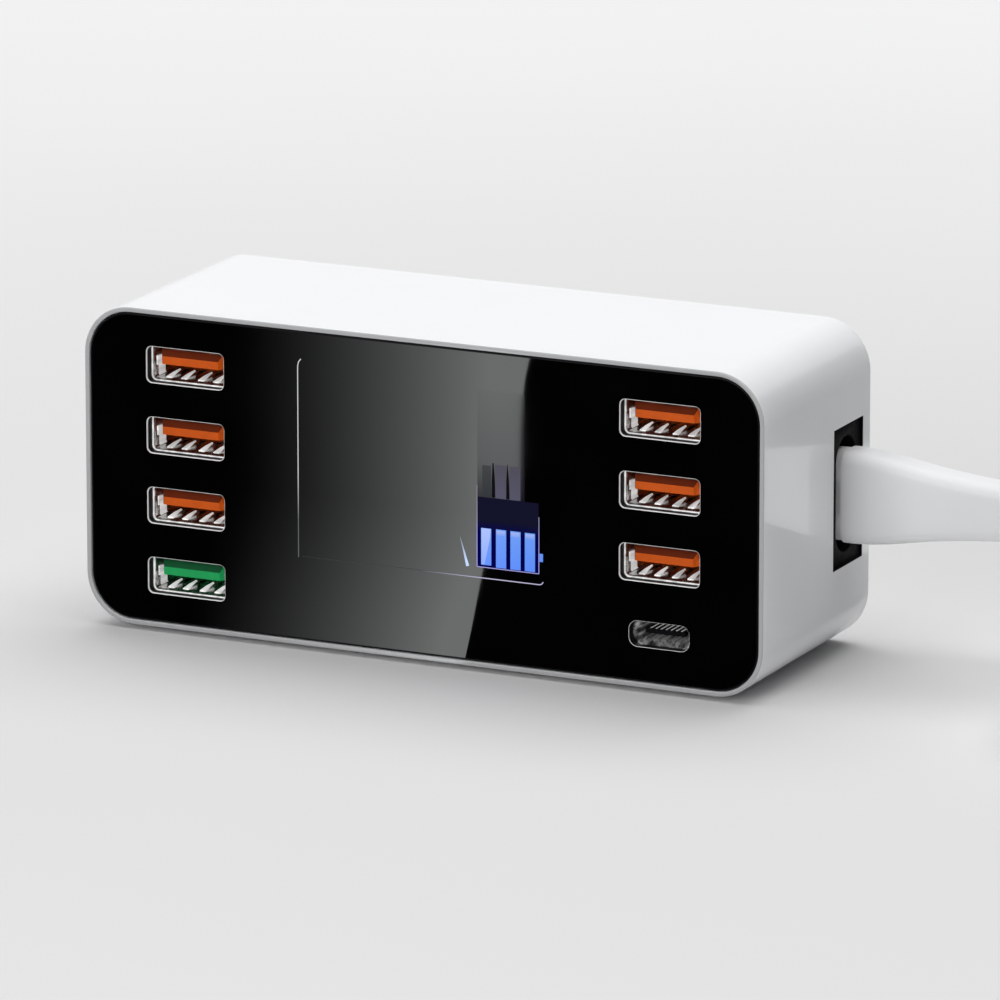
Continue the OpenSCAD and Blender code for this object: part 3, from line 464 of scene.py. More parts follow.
def moulding(name, origin, form, corner):
    """A grip lofted along the width from stations: distance, half height and half depth."""
    rings = []
    for x, half_z, half_y in form:
        r = min(corner, half_z - 0.3, half_y - 0.3)
        rings.append([(origin[0] + x, origin[1] + py, origin[2] + pz)
                      for py, pz in rounded(2 * half_y, 2 * half_z, r, 5)])
    piece = loft(name, rings)
    smooth = piece.modifiers.new("smooth", "SUBSURF")
    smooth.levels = smooth.render_levels = 2
    applied(piece)
    piece.data.shade_smooth()
    return piece


connector_form = [
    (0.1, 7.3, 3.6), (0.16, 7.4, 3.72), (0.6, 7.45, 3.75), (3.5, 7.4, 3.75), (7, 7.05, 3.7), (10, 6.55, 3.65),
    (13, 6, 3.6), (16, 5.55, 3.5), (19, 5.2, 3.45), (22, 4.9, 3.4), (26, 4.55, 3.35), (31, 4.2, 3.25),
    (38, 3.75, 3.1), (45, 3.32, 2.95), (45.8, 3.2, 2.85), (45.95, 3.0, 2.7),
]
grip = moulding("connector_grip", (body_w / 2, inlet_y, inlet_z), connector_form, corner=2.2)
print("connector grip:", len(grip.data.polygons), "faces")


# %% Nose of the connector
def sharp_where_turned(piece, degrees=35):
    """Smooth shading over curves, and a crisp line where two faces meet at a real angle."""
    piece.data.shade_smooth()
    piece.data.set_sharp_from_angle(angle=math.radians(degrees))
    return piece


def joined(piece, *others):
    """One piece out of several that are moulded or folded together."""
    with edited(piece) as work:
        for part in others:
            work.from_mesh(part.data)
    for part in others:
        bpy.data.objects.remove(part)
    return piece


def nose_ring(x, shrink=0.0):
    """Figure of eight with a shallow waist, where the two lobes meet."""
    r, spread, waist = 3.7 - shrink, 3.75, 3.35 - shrink
    start = math.acos(waist / r)
    ring = []
    for side in (1, -1):
        for k in range(13):
            a = (0 if side == 1 else math.pi) - start + (math.pi + 2 * start) * k / 12
            ring.append((x, inlet_y + r * math.cos(a), inlet_z + side * spread + r * math.sin(a)))
        for y, z in ((-waist, 0.95), (-waist, 0), (-waist, -0.95)):
            ring.append((x, inlet_y + side * y, inlet_z + side * z))
    return ring


nose_x = 45.6
nose = loft("nose", [nose_ring(nose_x, 0.3), nose_ring(nose_x + 0.3), nose_ring(body_w / 2 + 0.4)])
sharp_where_turned(nose, 30)
joined(grip, nose)
dress(grip, vinyl, ["cord_connector"])
print("connector:", len(grip.data.polygons), "faces with its nose")

# %% Plug
plug_form = [
    (0, 2.7, 2.7), (0.2, 2.9, 2.9), (5, 3.2, 3.3), (13.6, 4.2, 4.6), (14.4, 4.6, 5.4), (15, 5.6, 8), (18, 6.4, 10),
    (26, 6.8, 14.6), (32, 6.8, 17.2), (36, 6.8, 17.65), (46.6, 6.8, 17.65), (47.6, 6.7, 17.5), (47.95, 6.4, 17.2),
]
plug = moulding("plug_grip", (plug_x, plug_y, plug_z), plug_form, corner=3.0)
low_pin, high_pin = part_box("plug_pins")
pin_r, sleeve_base, sleeve_end = 2, 199.2, 209.8
pins_y, pins_apart = 500 * (low_pin[1] + high_pin[1]), 1000 * (high_pin[1] - low_pin[1]) - 2 * pin_r
for side in (-1, 1):
    middle = pins_y + side * pins_apart / 2
    rings = [[(x, middle + r * math.cos(k * math.pi / 12), plug_z + r * math.sin(k * math.pi / 12))
              for k in range(24)]
             for x, r in ((sleeve_base, pin_r), (sleeve_end, pin_r), (sleeve_end + 0.15, pin_r - 0.1))]
    joined(plug, sharp_where_turned(loft("sleeve", rings), 30))
dress(plug, vinyl, ["plug_body"])
print("plug: pins", round(pins_apart, 2), "mm apart")

# %% [markdown]
# ## Strap
# A woven strap with a hook-and-loop end holds the hank together. Cloth could be draped round the cord, but a
# strap that is pulled tight has no folds, so it is a flat band modelled directly.

# %% Strap round the hank
strap_w, strap_h, strap_t = 46.0, 11.0, 0.5
outline = rounded(strap_w, strap_h, 2.2, 8)
inside = rounded(strap_w - 2 * strap_t, strap_h - 2 * strap_t, 1.8, 8)
strap_rings = [[(x, plug_y + y, (low + high) / 2 + z) for y, z in ring]
               for x, ring in ((151.0, outline), (161.0, outline), (161.0, inside), (151.0, inside))]
strap = sharp_where_turned(loft("strap", strap_rings, tube=True), 40)
dress(strap, strap_cloth, ["cord_tie"])
print("strap:", strap_w, "by", strap_h, "mm round the hank")

# %% [markdown]
# ## Pieces that the CAD model already shapes well
# The frame behind the front sheet, the boards and what is soldered to them, the screws, pins and feet have
# their real shape as solids. They could be remade, but nothing would be gained. Each gets its finish.


# %% Finishes for the CAD nodes that stay as they are
def finish_node(name, finish):
    """A CAD node that stays as it is gets a better finish in its own slots."""
    data = nodes[name].data
    data.materials.clear()
    data.materials.append(finish)
    for polygon in data.polygons:
        polygon.material_index = 0


node_finishes = {
    "front_frame": black_plastic, "display_cell": smoked_glass, "display_backlight": diffuser,
    "display_board": green_lacquer, "display_header": black_plastic, "port_board": green_lacquer,
    "port_board_screws": steel, "main_board": brown_board, "main_board_screws": steel,
    "link_header": black_plastic, "transformer_core": ferrite, "transformer_winding": yellow_tape,
    "mains_capacitors": blue_sleeve, "output_capacitors": green_sleeve, "choke_core": green_paint,
    "choke_winding": copper, "filter_capacitor": yellow_tape, "fuse": steel,
    "bridge_rectifier": black_plastic, "heat_sinks": aluminium, "power_transistors": black_plastic,
    "control_chips": black_plastic, "inlet_pins": steel, "feet": foot_rubber, "connector_contacts": gold,
    "plug_pins": nickel, "usb_c_shell": drawn_sheet, "usb_c_tongue": inlet_black,
}
node_finishes.update({"usb_a_contacts_%d" % i: gold for i in range(1, 8)})
for name, finish in node_finishes.items():
    finish_node(name, finish)
print("CAD nodes with a new finish:", len(node_finishes))

# %% [markdown]
# ## Housing
# The housing is one white moulding with walls a little over two millimetres thick. A box made hollow by a
# Solidify modifier would have the same round on every edge. Here each station along the depth has its own
# distance from the outline and its own corner, so the back has a soft round and the front lip a small one.
# The window for the inlet is cut last. A weighted normal keeps the flat walls flat beside the rounds.


# %% Shell, ring by ring
def shell_station(y, inset, r):
    """One ring of the shell: its depth, how far it lies inside the outline, and its corner radius."""
    return [(x, y, mid_z + z) for x, z in rounded(body_w - 2 * inset, body_h - 2 * inset, r, 14)]


def quarter(y0, inset0, y_side, inset_side, r, steps=4):
    """Stations of a small round between a face that looks along the depth and one that looks outwards."""
    rows = []
    for k in range(steps + 1):
        a = math.radians(90 * k / steps)
        rows.append((y0 + y_side * r * (1 - math.cos(a)), inset0 + inset_side * r * (1 - math.sin(a))))
    return rows


back_round, front_round, lip_round = 1.0, 0.22, 0.12
stations = (quarter(back_y, 0, -1, 1, back_round, 6) + quarter(front_y, 0, 1, 1, front_round)[::-1]
            + quarter(front_y, lip, 1, -1, lip_round, 3)
            + [(seat_y, lip), (seat_y + 0.02, lip), (seat_y, wall - 0.05), (seat_y + 0.05, wall),
               (back_y - wall, wall)])
shell = loft("shell", [shell_station(y, inset, max(corner_r - inset, 0.5)) for y, inset in stations])
print("shell:", len(stations), "stations")


# %% Window for the inlet, and the finish of the shell
def cut_away(piece, cutter):
    """Takes the cutter's volume out of a piece, and removes the cutter."""
    cut = piece.modifiers.new("cut", "BOOLEAN")
    cut.operation, cut.object, cut.solver = "DIFFERENCE", cutter, "EXACT"
    applied(piece)
    bpy.data.objects.remove(cutter)


cut_away(shell, loft("cutter", [[(x, inlet_y + sy * inlet_w / 2, inlet_z + sz * inlet_h / 2)
                                 for sy, sz in ((-1, -1), (1, -1), (1, 1), (-1, 1))]
                                for x in (body_w / 2 - wall - 1, body_w / 2 + 1)], smooth=False))
sharp_where_turned(shell, 30)
even = shell.modifiers.new("even shading of the flat walls", "WEIGHTED_NORMAL")
even.weight, even.keep_sharp = 100, True
applied(shell)
# The faces of the lip that look forward get a darker copy of the white: painted shade.
lip_painted_shade = moulded("front lip", (0.45, 0.455, 0.46), rough=(0.36, 0.44), spread=0.008, coat=0.5)
dress(shell, white_shell, ["housing"])
shell.data.materials.append(lip_painted_shade)
for polygon in shell.data.polygons:
    if polygon.normal.y < -0.5 and 1000 * polygon.center.y < front_y + 0.2:
        polygon.material_index = 1
print("shell:", len(shell.data.polygons), "faces")

# %% [markdown]
# ## Front sheet
# The sheet is polished black plastic, printed black on its back. A cutter leaves the front of each window's
# wall bright and satin, while the print behind it stays black. So each socket has a bright line at its far
# side and its bottom, with a thin dark line inside it. A Bevel modifier could round the edges, but over a
# face with eight windows it leaves streaks in the gloss. So the walls are built ring by ring, and the two
# flat faces are filled between the rings.


# %% Plate with windows
def plate_with_windows(name, outer, windows, outer_finish):
    """Rings run from the front to the back; a finish is given for each band of wall between two rings."""
    piece = mesh_piece(name, [], [])
    with edited(piece) as work:
        front, back = [], []
        for rings, finishes in [(outer, outer_finish)] + windows:
            rows = [[work.verts.new(mm(*p)) for p in ring] for ring in rings]
            for band, (a, b) in enumerate(zip(rows, rows[1:])):
                for k in range(len(a)):
                    j = (k + 1) % len(a)
                    wall_face = work.faces.new((a[k], a[j], b[j], b[k]))
                    wall_face.smooth = True
                    wall_face.material_index = finishes[band]
            for row, edges in ((rows[0], front), (rows[-1], back)):
                edges += [work.edges.get((row[k], row[(k + 1) % len(row)])) for k in range(len(row))]
        for edges in (front, back):
            bmesh.ops.triangle_fill(work, use_beauty=True, edges=edges, normal=(0, -1, 0))
        bmesh.ops.recalc_face_normals(work, faces=work.faces)
    piece.data.set_sharp_from_angle(angle=math.radians(15))
    return piece


def window_rings(x, z, w, h, r, bright_t, edge_round):
    """Four rings of a window: its rounded edge, its bright front and the printed rest."""
    return [[(x + px, y, z + pz) for px, pz in rounded(w + 2 * out, h + 2 * out, r + out)]
            for y, out in ((panel_y, edge_round), (panel_y + edge_round, 0), (panel_y + bright_t, 0), (seat_y, 0))]


sheet_inset = lip + panel_gap
sheet_w, sheet_h, sheet_r = body_w - 2 * sheet_inset, body_h - 2 * sheet_inset, corner_r - sheet_inset
print("front sheet", round(sheet_w, 1), "by", round(sheet_h, 1), "mm")

# %% Front sheet
bright_cut, back_print = 1, 2
sheet_outer = [[(x, y, mid_z + z) for x, z in rounded(sheet_w - 2 * in_, sheet_h - 2 * in_, sheet_r - in_, 14)]
               for y, in_ in ((panel_y, 0.28), (panel_y + 0.15, 0), (seat_y, 0))]
sheet_windows = [(window_rings(x, z - 0.1, slot_w - 0.3, slot_h - 0.4, slot_r, bright_t=0.35, edge_round=0.1),
                  (bright_cut, bright_cut, back_print)) for x, z in usb_a_places]
sheet_windows.append((window_rings(*usb_c_place, slot_c_w - 0.2, slot_c_h - 0.2, 1.45, bright_t=0.3, edge_round=0.05),
                      (bright_cut, back_print, back_print)))
panel = plate_with_windows("front_sheet", sheet_outer, sheet_windows, (back_print, back_print))

sheet_black, tree, shader = empty_finish("polished black")
smudge = noise_of(tree, 60, 3)
tint = ramp_of(tree, smudge.outputs["Fac"], grey(0.0006), grey(0.0012))
gloss = ramp_of(tree, smudge.outputs["Fac"], grey(0.015), grey(0.035))
tree.links.new(tint.outputs["Color"], shader.inputs["Base Color"])
tree.links.new(gloss.outputs["Color"], shader.inputs["Roughness"])
cut_edge = moulded("cut edge", (0.95, 0.95, 0.95), rough=(0.25, 0.4), grain=3000)
black_print = moulded("black print", (0.004, 0.004, 0.005), rough=(0.4, 0.5), grain=2000, level=0.1)
for finish in (sheet_black, cut_edge, black_print):
    panel.data.materials.append(finish)
mount(panel, ["front_panel"])
print("front sheet:", len(panel.data.polygons), "faces")

# %% [markdown]
# ## Socket shells
# A USB-A socket is a box folded from thin tinned sheet. Its mouth flares outwards to guide the plug, and
# spring fingers are cut from its walls and bent inwards. A plane with a Solidify modifier could be folded, but
# the flare needs its own thickness at each step. So one socket is a lofted tube, with windows cut for the
# fingers and the fingers lofted as tapered strips. Geometry Nodes then sets a copy at each of seven places.


# %% Tube of one socket
bay_w, bay_h, socket_l, sheet_t = 12.5, 5.12, 13.9, 0.3


def socket_ring(depth, out):
    """One ring of the tube: its depth from the mouth, and how far it lies outside the bay."""
    return [(x, depth, z) for x, z in rounded(bay_w + 2 * out, bay_h + 2 * out, 0.4 + out, 5)]


wall_profile = [(socket_l, 0), (3.5, 0), (0.85, 0), (0.6, 0.03), (0.35, 0.12), (0.15, 0.26), (0.03, 0.38),
                (0.03, 0.48), (0.15, 0.53), (0.45, 0.45), (0.8, 0.35), (1.2, sheet_t), (socket_l, sheet_t)]
socket = loft("socket", [socket_ring(*row) for row in wall_profile], tube=True)
print("tube of a socket:", len(socket.data.polygons), "faces")


# %% Spring fingers
def on_wall(wall_i, along, depth, inward):
    """A point on one of the four walls: along it, at a depth from the mouth, and some way inwards."""
    if wall_i < 2:
        return (along, depth, (1 - 2 * wall_i) * (bay_h / 2 - inward))
    return ((1 - 2 * (wall_i - 2)) * (bay_w / 2 - inward), depth, along)


top, bottom, right, left = range(4)
fingers = [(top, -2.9, 1.1, 0.35), (top, 2.9, 1.1, 0.35), (bottom, -4.1, 0.65, 0.35), (bottom, -1.5, 0.65, 0.35),
           (bottom, 1.5, 0.65, 0.35), (bottom, 4.1, 0.65, 0.35), (right, 0, 0.95, 0.4), (left, 0, 0.95, 0.4)]
strips = []
for wall_i, at, half, bend in fingers:
    opening = [[on_wall(wall_i, at + s * (half * 0.75 + 0.1), depth, inward)
                for inward, s in ((-0.6, -1), (-0.6, 1), (0.3, 1), (0.3, -1))] for depth in (6.4, 9.2)]
    cut_away(socket, loft("opening", opening, smooth=False))
    rings = []
    for depth, inward, width in ((9.5, -0.28, half), (8.6, -0.2, half), (6.4, bend * 0.5, half * 0.5),
                                 (4.7, bend, half * 0.2), (4.3, bend * 1.02, half * 0.2),
                                 (2.8, bend * 0.6, half * 0.5), (0.95, -0.12, half * 0.8)):
        rings.append([on_wall(wall_i, at + s * width, depth, inward + t) for s, t in
                      ((-1, 0), (-1, 0.22), (-0.5, 0.27), (0.5, 0.27), (1, 0.22), (1, 0))])
    strips.append(loft("strip", rings))
print("fingers of a socket:", len(strips))

# %% [markdown]
# ## Bright parts of a socket
# Light from the front reaches the rim, the fingers and the first few millimetres of the side walls. They are
# bright in the photograph, and the rest of the shell is dark. A lamp in each socket could do this, but it
# would also light the tongue. So the walls are cut where the bright part ends, and each face stores whether
# it is bright. The tree below reads that when it gives the copies their finish.

# %% Which faces of the socket are bright
# Faces marked bright are given the glowing tinned sheet: painted light, not a lamp.
lit_from, lit_to, lit_below = 1.5, 3.9, 0.45
with edited(socket) as work:
    for at, along in (((0, lit_from, 0), (0, 1, 0)), ((0, lit_to, 0), (0, 1, 0)), ((0, 0, lit_below), (0, 0, 1))):
        bmesh.ops.bisect_plane(work, geom=work.verts[:] + work.edges[:] + work.faces[:], plane_co=mm(*at),
                               plane_no=along)
n_wall_faces = len(socket.data.polygons)
joined(socket, *strips)
bright = socket.data.attributes.new("bright", "BOOLEAN", "FACE")
for polygon in socket.data.polygons:
    at = 1000 * polygon.center
    side_wall = (abs(polygon.normal.x) > 0.7 and abs(at.x) < bay_w / 2 + 0.1
                 and lit_from < at.y < lit_to and at.z < lit_below)
    rim = at.y < 0.12
    finger = polygon.index >= n_wall_faces and at.y < 4.6
    bright.data[polygon.index].value = bool(side_wall or rim or finger)
print("one socket:", len(socket.data.polygons), "faces,", sum(face.value for face in bright.data), "of them bright")
sharp_where_turned(socket, 35)

# %% [markdown]
# ## A tree that copies a pattern
# Seven equal shells could be seven linked objects. A Geometry Nodes tree keeps them one piece: it takes the
# places as points, sets an instance of the pattern on each, makes the instances real mesh, and paints them.
# The same tree serves the tongues and the contact strips further on.


# %% Geometry Nodes: a copy of a pattern at each point
def new_tree(name, inputs):
    """A geometry node tree with named inputs; each input is a name and a socket type."""
    tree = bpy.data.node_groups.new(name, "GeometryNodeTree")
    for label, kind in inputs:
        tree.interface.new_socket(name=label, in_out="INPUT", socket_type=kind)
    tree.interface.new_socket(name="Geometry", in_out="OUTPUT", socket_type="NodeSocketGeometry")
    return tree, tree.nodes.new("NodeGroupInput"), tree.nodes.new("NodeGroupOutput")


def grow(piece, tree, **values):
    """Runs a tree on a piece with its named inputs, and keeps the result as plain mesh."""
    growth = piece.modifiers.new(tree.name, "NODES")
    growth.node_group = tree
    for item in tree.interface.items_tree:
        if item.item_type == "SOCKET" and item.in_out == "INPUT" and item.name.replace(" ", "_") in values:
            growth[item.identifier] = values[item.name.replace(" ", "_")]
    return applied(piece)


def wire(tree, *links):
    """Joins sockets; each link is an output and the input that it feeds."""
    for source, target in links:
        tree.links.new(source, target)


copies_tree, given, result = new_tree("copies at points", [
    ("Geometry", "NodeSocketGeometry"), ("Pattern", "NodeSocketObject"), ("Sheet", "NodeSocketMaterial"),
    ("Bright sheet", "NodeSocketMaterial")])
pattern = copies_tree.nodes.new("GeometryNodeObjectInfo")
copies = copies_tree.nodes.new("GeometryNodeInstanceOnPoints")
real = copies_tree.nodes.new("GeometryNodeRealizeInstances")
chosen = copies_tree.nodes.new("GeometryNodeInputNamedAttribute")
chosen.data_type = "BOOLEAN"
chosen.inputs["Name"].default_value = "bright"
paint, repaint = [copies_tree.nodes.new("GeometryNodeSetMaterial") for _ in range(2)]
wire(
    copies_tree,
    (given.outputs["Pattern"], pattern.inputs["Object"]), (given.outputs["Geometry"], copies.inputs["Points"]),
    (pattern.outputs["Geometry"], copies.inputs["Instance"]), (copies.outputs[0], real.inputs[0]),
    (real.outputs[0], paint.inputs["Geometry"]), (given.outputs["Sheet"], paint.inputs["Material"]),
    (paint.outputs[0], repaint.inputs["Geometry"]), (given.outputs["Bright sheet"], repaint.inputs["Material"]),
    (chosen.outputs["Attribute"], repaint.inputs["Selection"]), (repaint.outputs[0], result.inputs[0]),
)
print("tree", copies_tree.name, "has", len(copies_tree.nodes), "nodes")

# %% Seven socket shells
mouth_y = seat_y + 0.05
shells = mesh_piece("socket_shells", [(x, mouth_y, z) for x, z in usb_a_places], [])
# The bright faces get the glowing tin: painted light.
grow(shells, copies_tree, Pattern=socket, Sheet=nickel, Bright_sheet=tin_with_painted_light)
bpy.data.objects.remove(socket)
mount(shells, ["usb_a_shell_%d" % i for i in range(1, 8)])
print("socket shells:", len(shells.data.polygons), "faces")

# %% [markdown]
# ## Socket tongues
# The coloured tongue in each socket is moulded with sloped edges at its tip, which lead the plug in. Its faces carry
# painted light and shade: the top, the slopes, the underside and the left side are painted dark, the front a little
# lighter, and the right side brightest. Two materials could show that, but then they would differ in grain too. So
# one finish reads a light level that is stored on each face. The same tree sets the copies: six orange ones, and a
# green one at the bottom left.


# %% Shape of a tongue
tongue_half_w, low_z, high_z = 5.35, -0.3, 1.94
tip_y, slope, base_y = 0.2, 0.75, 10.35


def tongue_shape(name):
    """A tongue with a sloped tip, on the block that closes the back of the socket. Each face stores a light level for
    its painted light and shade, from 0 for the darkest to 1 for the liveliest."""
    stations = ((tip_y, tongue_half_w - 0.6 * slope, high_z - 1.3 * slope), (tip_y + slope, tongue_half_w, high_z),
                (base_y + 0.2, tongue_half_w, high_z))
    tongue = loft(name, [[(x, depth, z) for x, z in ((-w, low_z), (w, low_z), (w, top_z), (-w, top_z))]
                         for depth, w, top_z in stations], smooth=False)
    block = loft("block", [[(x, depth, z) for x, z in rounded(bay_w - 0.04, bay_h - 0.04, 0.4, 4)]
                           for depth in (base_y, socket_l - 0.05)], smooth=False)
    joined(tongue, block)
    # Painted light and shade: 1 where a face turns right, 0.75 where it faces the front, and 0 on the top, the
    # slopes, the underside and the left side.
    light_level = tongue.data.attributes.new("light_level", "FLOAT", "FACE")
    for polygon in tongue.data.polygons:
        n = polygon.normal
        light_level.data[polygon.index].value = 0.75 if n.y < -0.95 else 1.0 if n.x > 0.5 else 0.0
    return tongue


print("tongue:", 2 * tongue_half_w, "mm wide, in a bay of", bay_w, "mm")


# %% Tongues
def tongue_finish(name, dark, lively):
    """Moulded plastic whose colour goes from dark to lively with the stored light level: painted light and shade on
    its faces.
    """
    finish = moulded(name, lively, rough=(0.4, 0.5), spread=0.05, level=0.15)
    tree = finish.node_tree
    stored = tree.nodes.new("ShaderNodeAttribute")
    stored.attribute_name = "light_level"
    shades = ramp_of(tree, stored.outputs["Fac"], (*dark, 1), (*lively, 1), 0.0, 1.0)
    drift = noise_of(tree, 500, 3)
    worn = tree.nodes.new("ShaderNodeMixRGB")
    worn.blend_type = "MULTIPLY"
    worn.inputs[0].default_value = 0.25
    tree.links.new(shades.outputs["Color"], worn.inputs[1])
    tree.links.new(drift.outputs["Fac"], worn.inputs[2])
    tree.links.new(worn.outputs["Color"], tree.nodes["Principled BSDF"].inputs["Base Color"])
    return finish


orange_with_painted_shade = tongue_finish("orange plastic", (0.2, 0.028, 0.006), (1.0, 0.15, 0.004))
green_with_painted_shade = tongue_finish("green plastic", (0.012, 0.13, 0.045), (0.02, 0.62, 0.17))
for name, numbers, plastic in (("orange_tongues", (1, 2, 3, 5, 6, 7), orange_with_painted_shade),
                               ("green_tongue", (4,), green_with_painted_shade)):
    tongue = tongue_shape("tongue")
    tongues = mesh_piece(name, [(usb_a_places[i - 1][0], mouth_y, usb_a_places[i - 1][1]) for i in numbers], [])
    grow(tongues, copies_tree, Pattern=tongue, Sheet=plastic, Bright_sheet=plastic)
    bpy.data.objects.remove(tongue)
    mount(tongues,
          ["usb_a_tongue_%d" % i for i in numbers])
    print(name, len(tongues.data.polygons), "faces")

# %% [markdown]
# ## Contact strips of the USB-C tongue
# The small socket's tongue has a row of plated strips on both of its faces. The CAD solids' strips are finer,
# and would blur to a grey band at this size. The photograph shows about seven, so seven a side are set by the
# same tree, a pitch apart.

# %% Contact strips of the USB-C tongue
low_c, high_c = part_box("usb_c_contacts")
strip_y = (1000 * low_c[1], 1000 * high_c[1])
strip_pitch, strips_a_side = 0.86, 7
strip = loft("strip", [[(x, y, z) for x, z in ((-0.11, -0.04), (0.11, -0.04), (0.11, 0.05), (-0.11, 0.05))]
                       for y in strip_y], smooth=False)
c_x, c_z = usb_c_place
contacts = mesh_piece("usb_c_strips", [(c_x + strip_pitch * (k - (strips_a_side - 1) / 2), 0, c_z + side * 0.35)
                                       for k in range(strips_a_side) for side in (-1, 1)], [])
grow(contacts, copies_tree, Pattern=strip, Sheet=contact_tin, Bright_sheet=contact_tin)
bpy.data.objects.remove(strip)
mount(contacts, ["usb_c_contacts"])
print("contact strips:", len(contacts.data.polygons), "faces")

# %% [markdown]
# ## Display
# What the display shows is seen on the black sheet itself: a thin frame line, a battery symbol with four lit
# segments, and one slanted tick. An image could be shown on the sheet, but then the marks would blur close up
# and have no edge. Each mark is a thin plate just proud of the sheet, in its recess. The four segments and the
# unlit ones above them are rows of one plate, so a second tree makes them.

# %% Geometry Nodes: a row of segments
segment_tree, given, result = new_tree("row of segments", [
    ("Geometry", "NodeSocketGeometry"), ("Count", "NodeSocketInt"), ("Pitch", "NodeSocketFloat"),
    ("Width", "NodeSocketFloat"), ("Height", "NodeSocketFloat"), ("Start", "NodeSocketVector"),
    ("Finish", "NodeSocketMaterial")])
step = segment_tree.nodes.new("ShaderNodeCombineXYZ")
line = segment_tree.nodes.new("GeometryNodeMeshLine")
plate = segment_tree.nodes.new("GeometryNodeMeshGrid")
plate.inputs["Vertices X"].default_value, plate.inputs["Vertices Y"].default_value = 3, 9
upright = segment_tree.nodes.new("GeometryNodeTransform")
upright.inputs["Rotation"].default_value = (math.pi / 2, 0, 0)
copies = segment_tree.nodes.new("GeometryNodeInstanceOnPoints")
real = segment_tree.nodes.new("GeometryNodeRealizeInstances")
paint = segment_tree.nodes.new("GeometryNodeSetMaterial")
wire(
    segment_tree,
    (given.outputs["Pitch"], step.inputs["X"]), (step.outputs[0], line.inputs["Offset"]),
    (given.outputs["Count"], line.inputs["Count"]), (given.outputs["Start"], line.inputs["Start Location"]),
    (given.outputs["Width"], plate.inputs["Size X"]), (given.outputs["Height"], plate.inputs["Size Y"]),
    (plate.outputs["Mesh"], upright.inputs["Geometry"]), (line.outputs[0], copies.inputs["Points"]),
    (upright.outputs[0], copies.inputs["Instance"]), (copies.outputs[0], real.inputs[0]),
    (real.outputs[0], paint.inputs["Geometry"]), (given.outputs["Finish"], paint.inputs["Material"]),
    (paint.outputs[0], result.inputs[0]),
)
print("tree", segment_tree.name, "has", len(segment_tree.nodes), "nodes")

# %% [markdown]
# ## Light of the display
# The marks are lit from behind, and the light isn't even: a segment is paler at its top, and the frame line
# fades at its ends. A lamp behind each could make that. An emission that changes with the height is steadier,
# and says the two colours outright. The unlit glass above the battery mirrors less than the sheet, which is
# a matter of its specular level.


# %% Finishes of the display
def lit(name, low, high, start, end, axis="Z", rough=0.3, level=0.5):
    """A lit mark: its light runs from low to high between two places on the charger, in millimetres."""
    finish, tree, shader = empty_finish(name)
    place = tree.nodes.new("ShaderNodeTexCoord")
    split = tree.nodes.new("ShaderNodeSeparateXYZ")
    reach = tree.nodes.new("ShaderNodeMapRange")
    reach.inputs["From Min"].default_value = mm(start)
    reach.inputs["From Max"].default_value = mm(end)
    tree.links.new(place.outputs["Object"], split.inputs[0])
    tree.links.new(split.outputs[axis], reach.inputs["Value"])
    ramp = ramp_of(tree, reach.outputs["Result"], (*low, 1), (*high, 1), 0, 1)
    tree.links.new(ramp.outputs["Color"], shader.inputs["Emission Color"])
    shader.inputs["Emission Strength"].default_value = 1.0
    shader.inputs["Base Color"].default_value = grey(0.001)
    shader.inputs["Roughness"].default_value = rough
    shader.inputs["Specular IOR Level"].default_value = level
    return finish


blue_light = lit("blue segment", (0.085, 0.24, 0.93), (0.12, 0.3, 0.88), 17, 23.5)
# The glint's finish: a painted highlight in pale blue light.
painted_glint = lit("painted glint", (0.22, 0.36, 0.9), (0.38, 0.5, 0.95), 17, 23.5)
tick_light = lit("tick", (0.52, 0.66, 0.98), (0.2, 0.21, 0.25), 17.5, 21.5)
top_light = lit("segment top", (0.16, 0.3, 0.85), (0.34, 0.44, 0.85), 22.3, 23.1)
unlit_glow = lit("unlit segment", (0.075, 0.072, 0.12), (0.062, 0.057, 0.08), 28, 34, rough=0.45, level=0.2)
faint_glow = lit("faint segment", (0.015, 0.02, 0.026), (0.04, 0.042, 0.044), 28, 34, rough=0.45, level=0.2)
line_light = lit("frame line", (0.09, 0.11, 0.11), (0.56, 0.58, 0.58), 21, 29)
bottom_light = lit("bottom line", (0.003, 0.004, 0.006), (0.5, 0.47, 0.66), 0, 12, axis="X")
violet_light = lit("battery line", (0.34, 0.32, 0.72), (0.2, 0.18, 0.25), 20, 28)
window_dark = lit("battery window", (0.0, 0.0, 0.07), (0.006, 0.006, 0.022), 22.5, 24.5, rough=0.6, level=0.0)
dark_gap = lit("dark gap", (0.0, 0.0, 0.002), (0.001, 0.001, 0.004), 28, 34, rough=0.6, level=0.05)
window_veil = lit("window veil", (0.008, 0.006, 0.011), (0.0, 0.0, 0.0), 28, 45, rough=0.04)
tree = window_veil.node_tree
veil = ramp_of(tree, tree.nodes["Map Range"].outputs["Result"], grey(0.1), grey(0.48), 0.0, 1.0)
veil.color_ramp.elements.new(0.35).color = grey(0.36)
tree.links.new(veil.outputs["Color"], tree.nodes["Principled BSDF"].inputs["Specular IOR Level"])
print("finishes with the display:", len(bpy.data.materials))


# %% Plates of the display
def plain_row(name, count, pitch, w, h, x, z, lift, finish):
    """A row of upright plates, the first one centred at x and z, proud of the sheet by its lift."""
    piece = mesh_piece(name, [], [])
    grow(piece, segment_tree, Count=count, Pitch=mm(pitch), Width=mm(w), Height=mm(h),
         Start=mm(x, mark_y - lift, z), Finish=finish)
    return mount(piece)


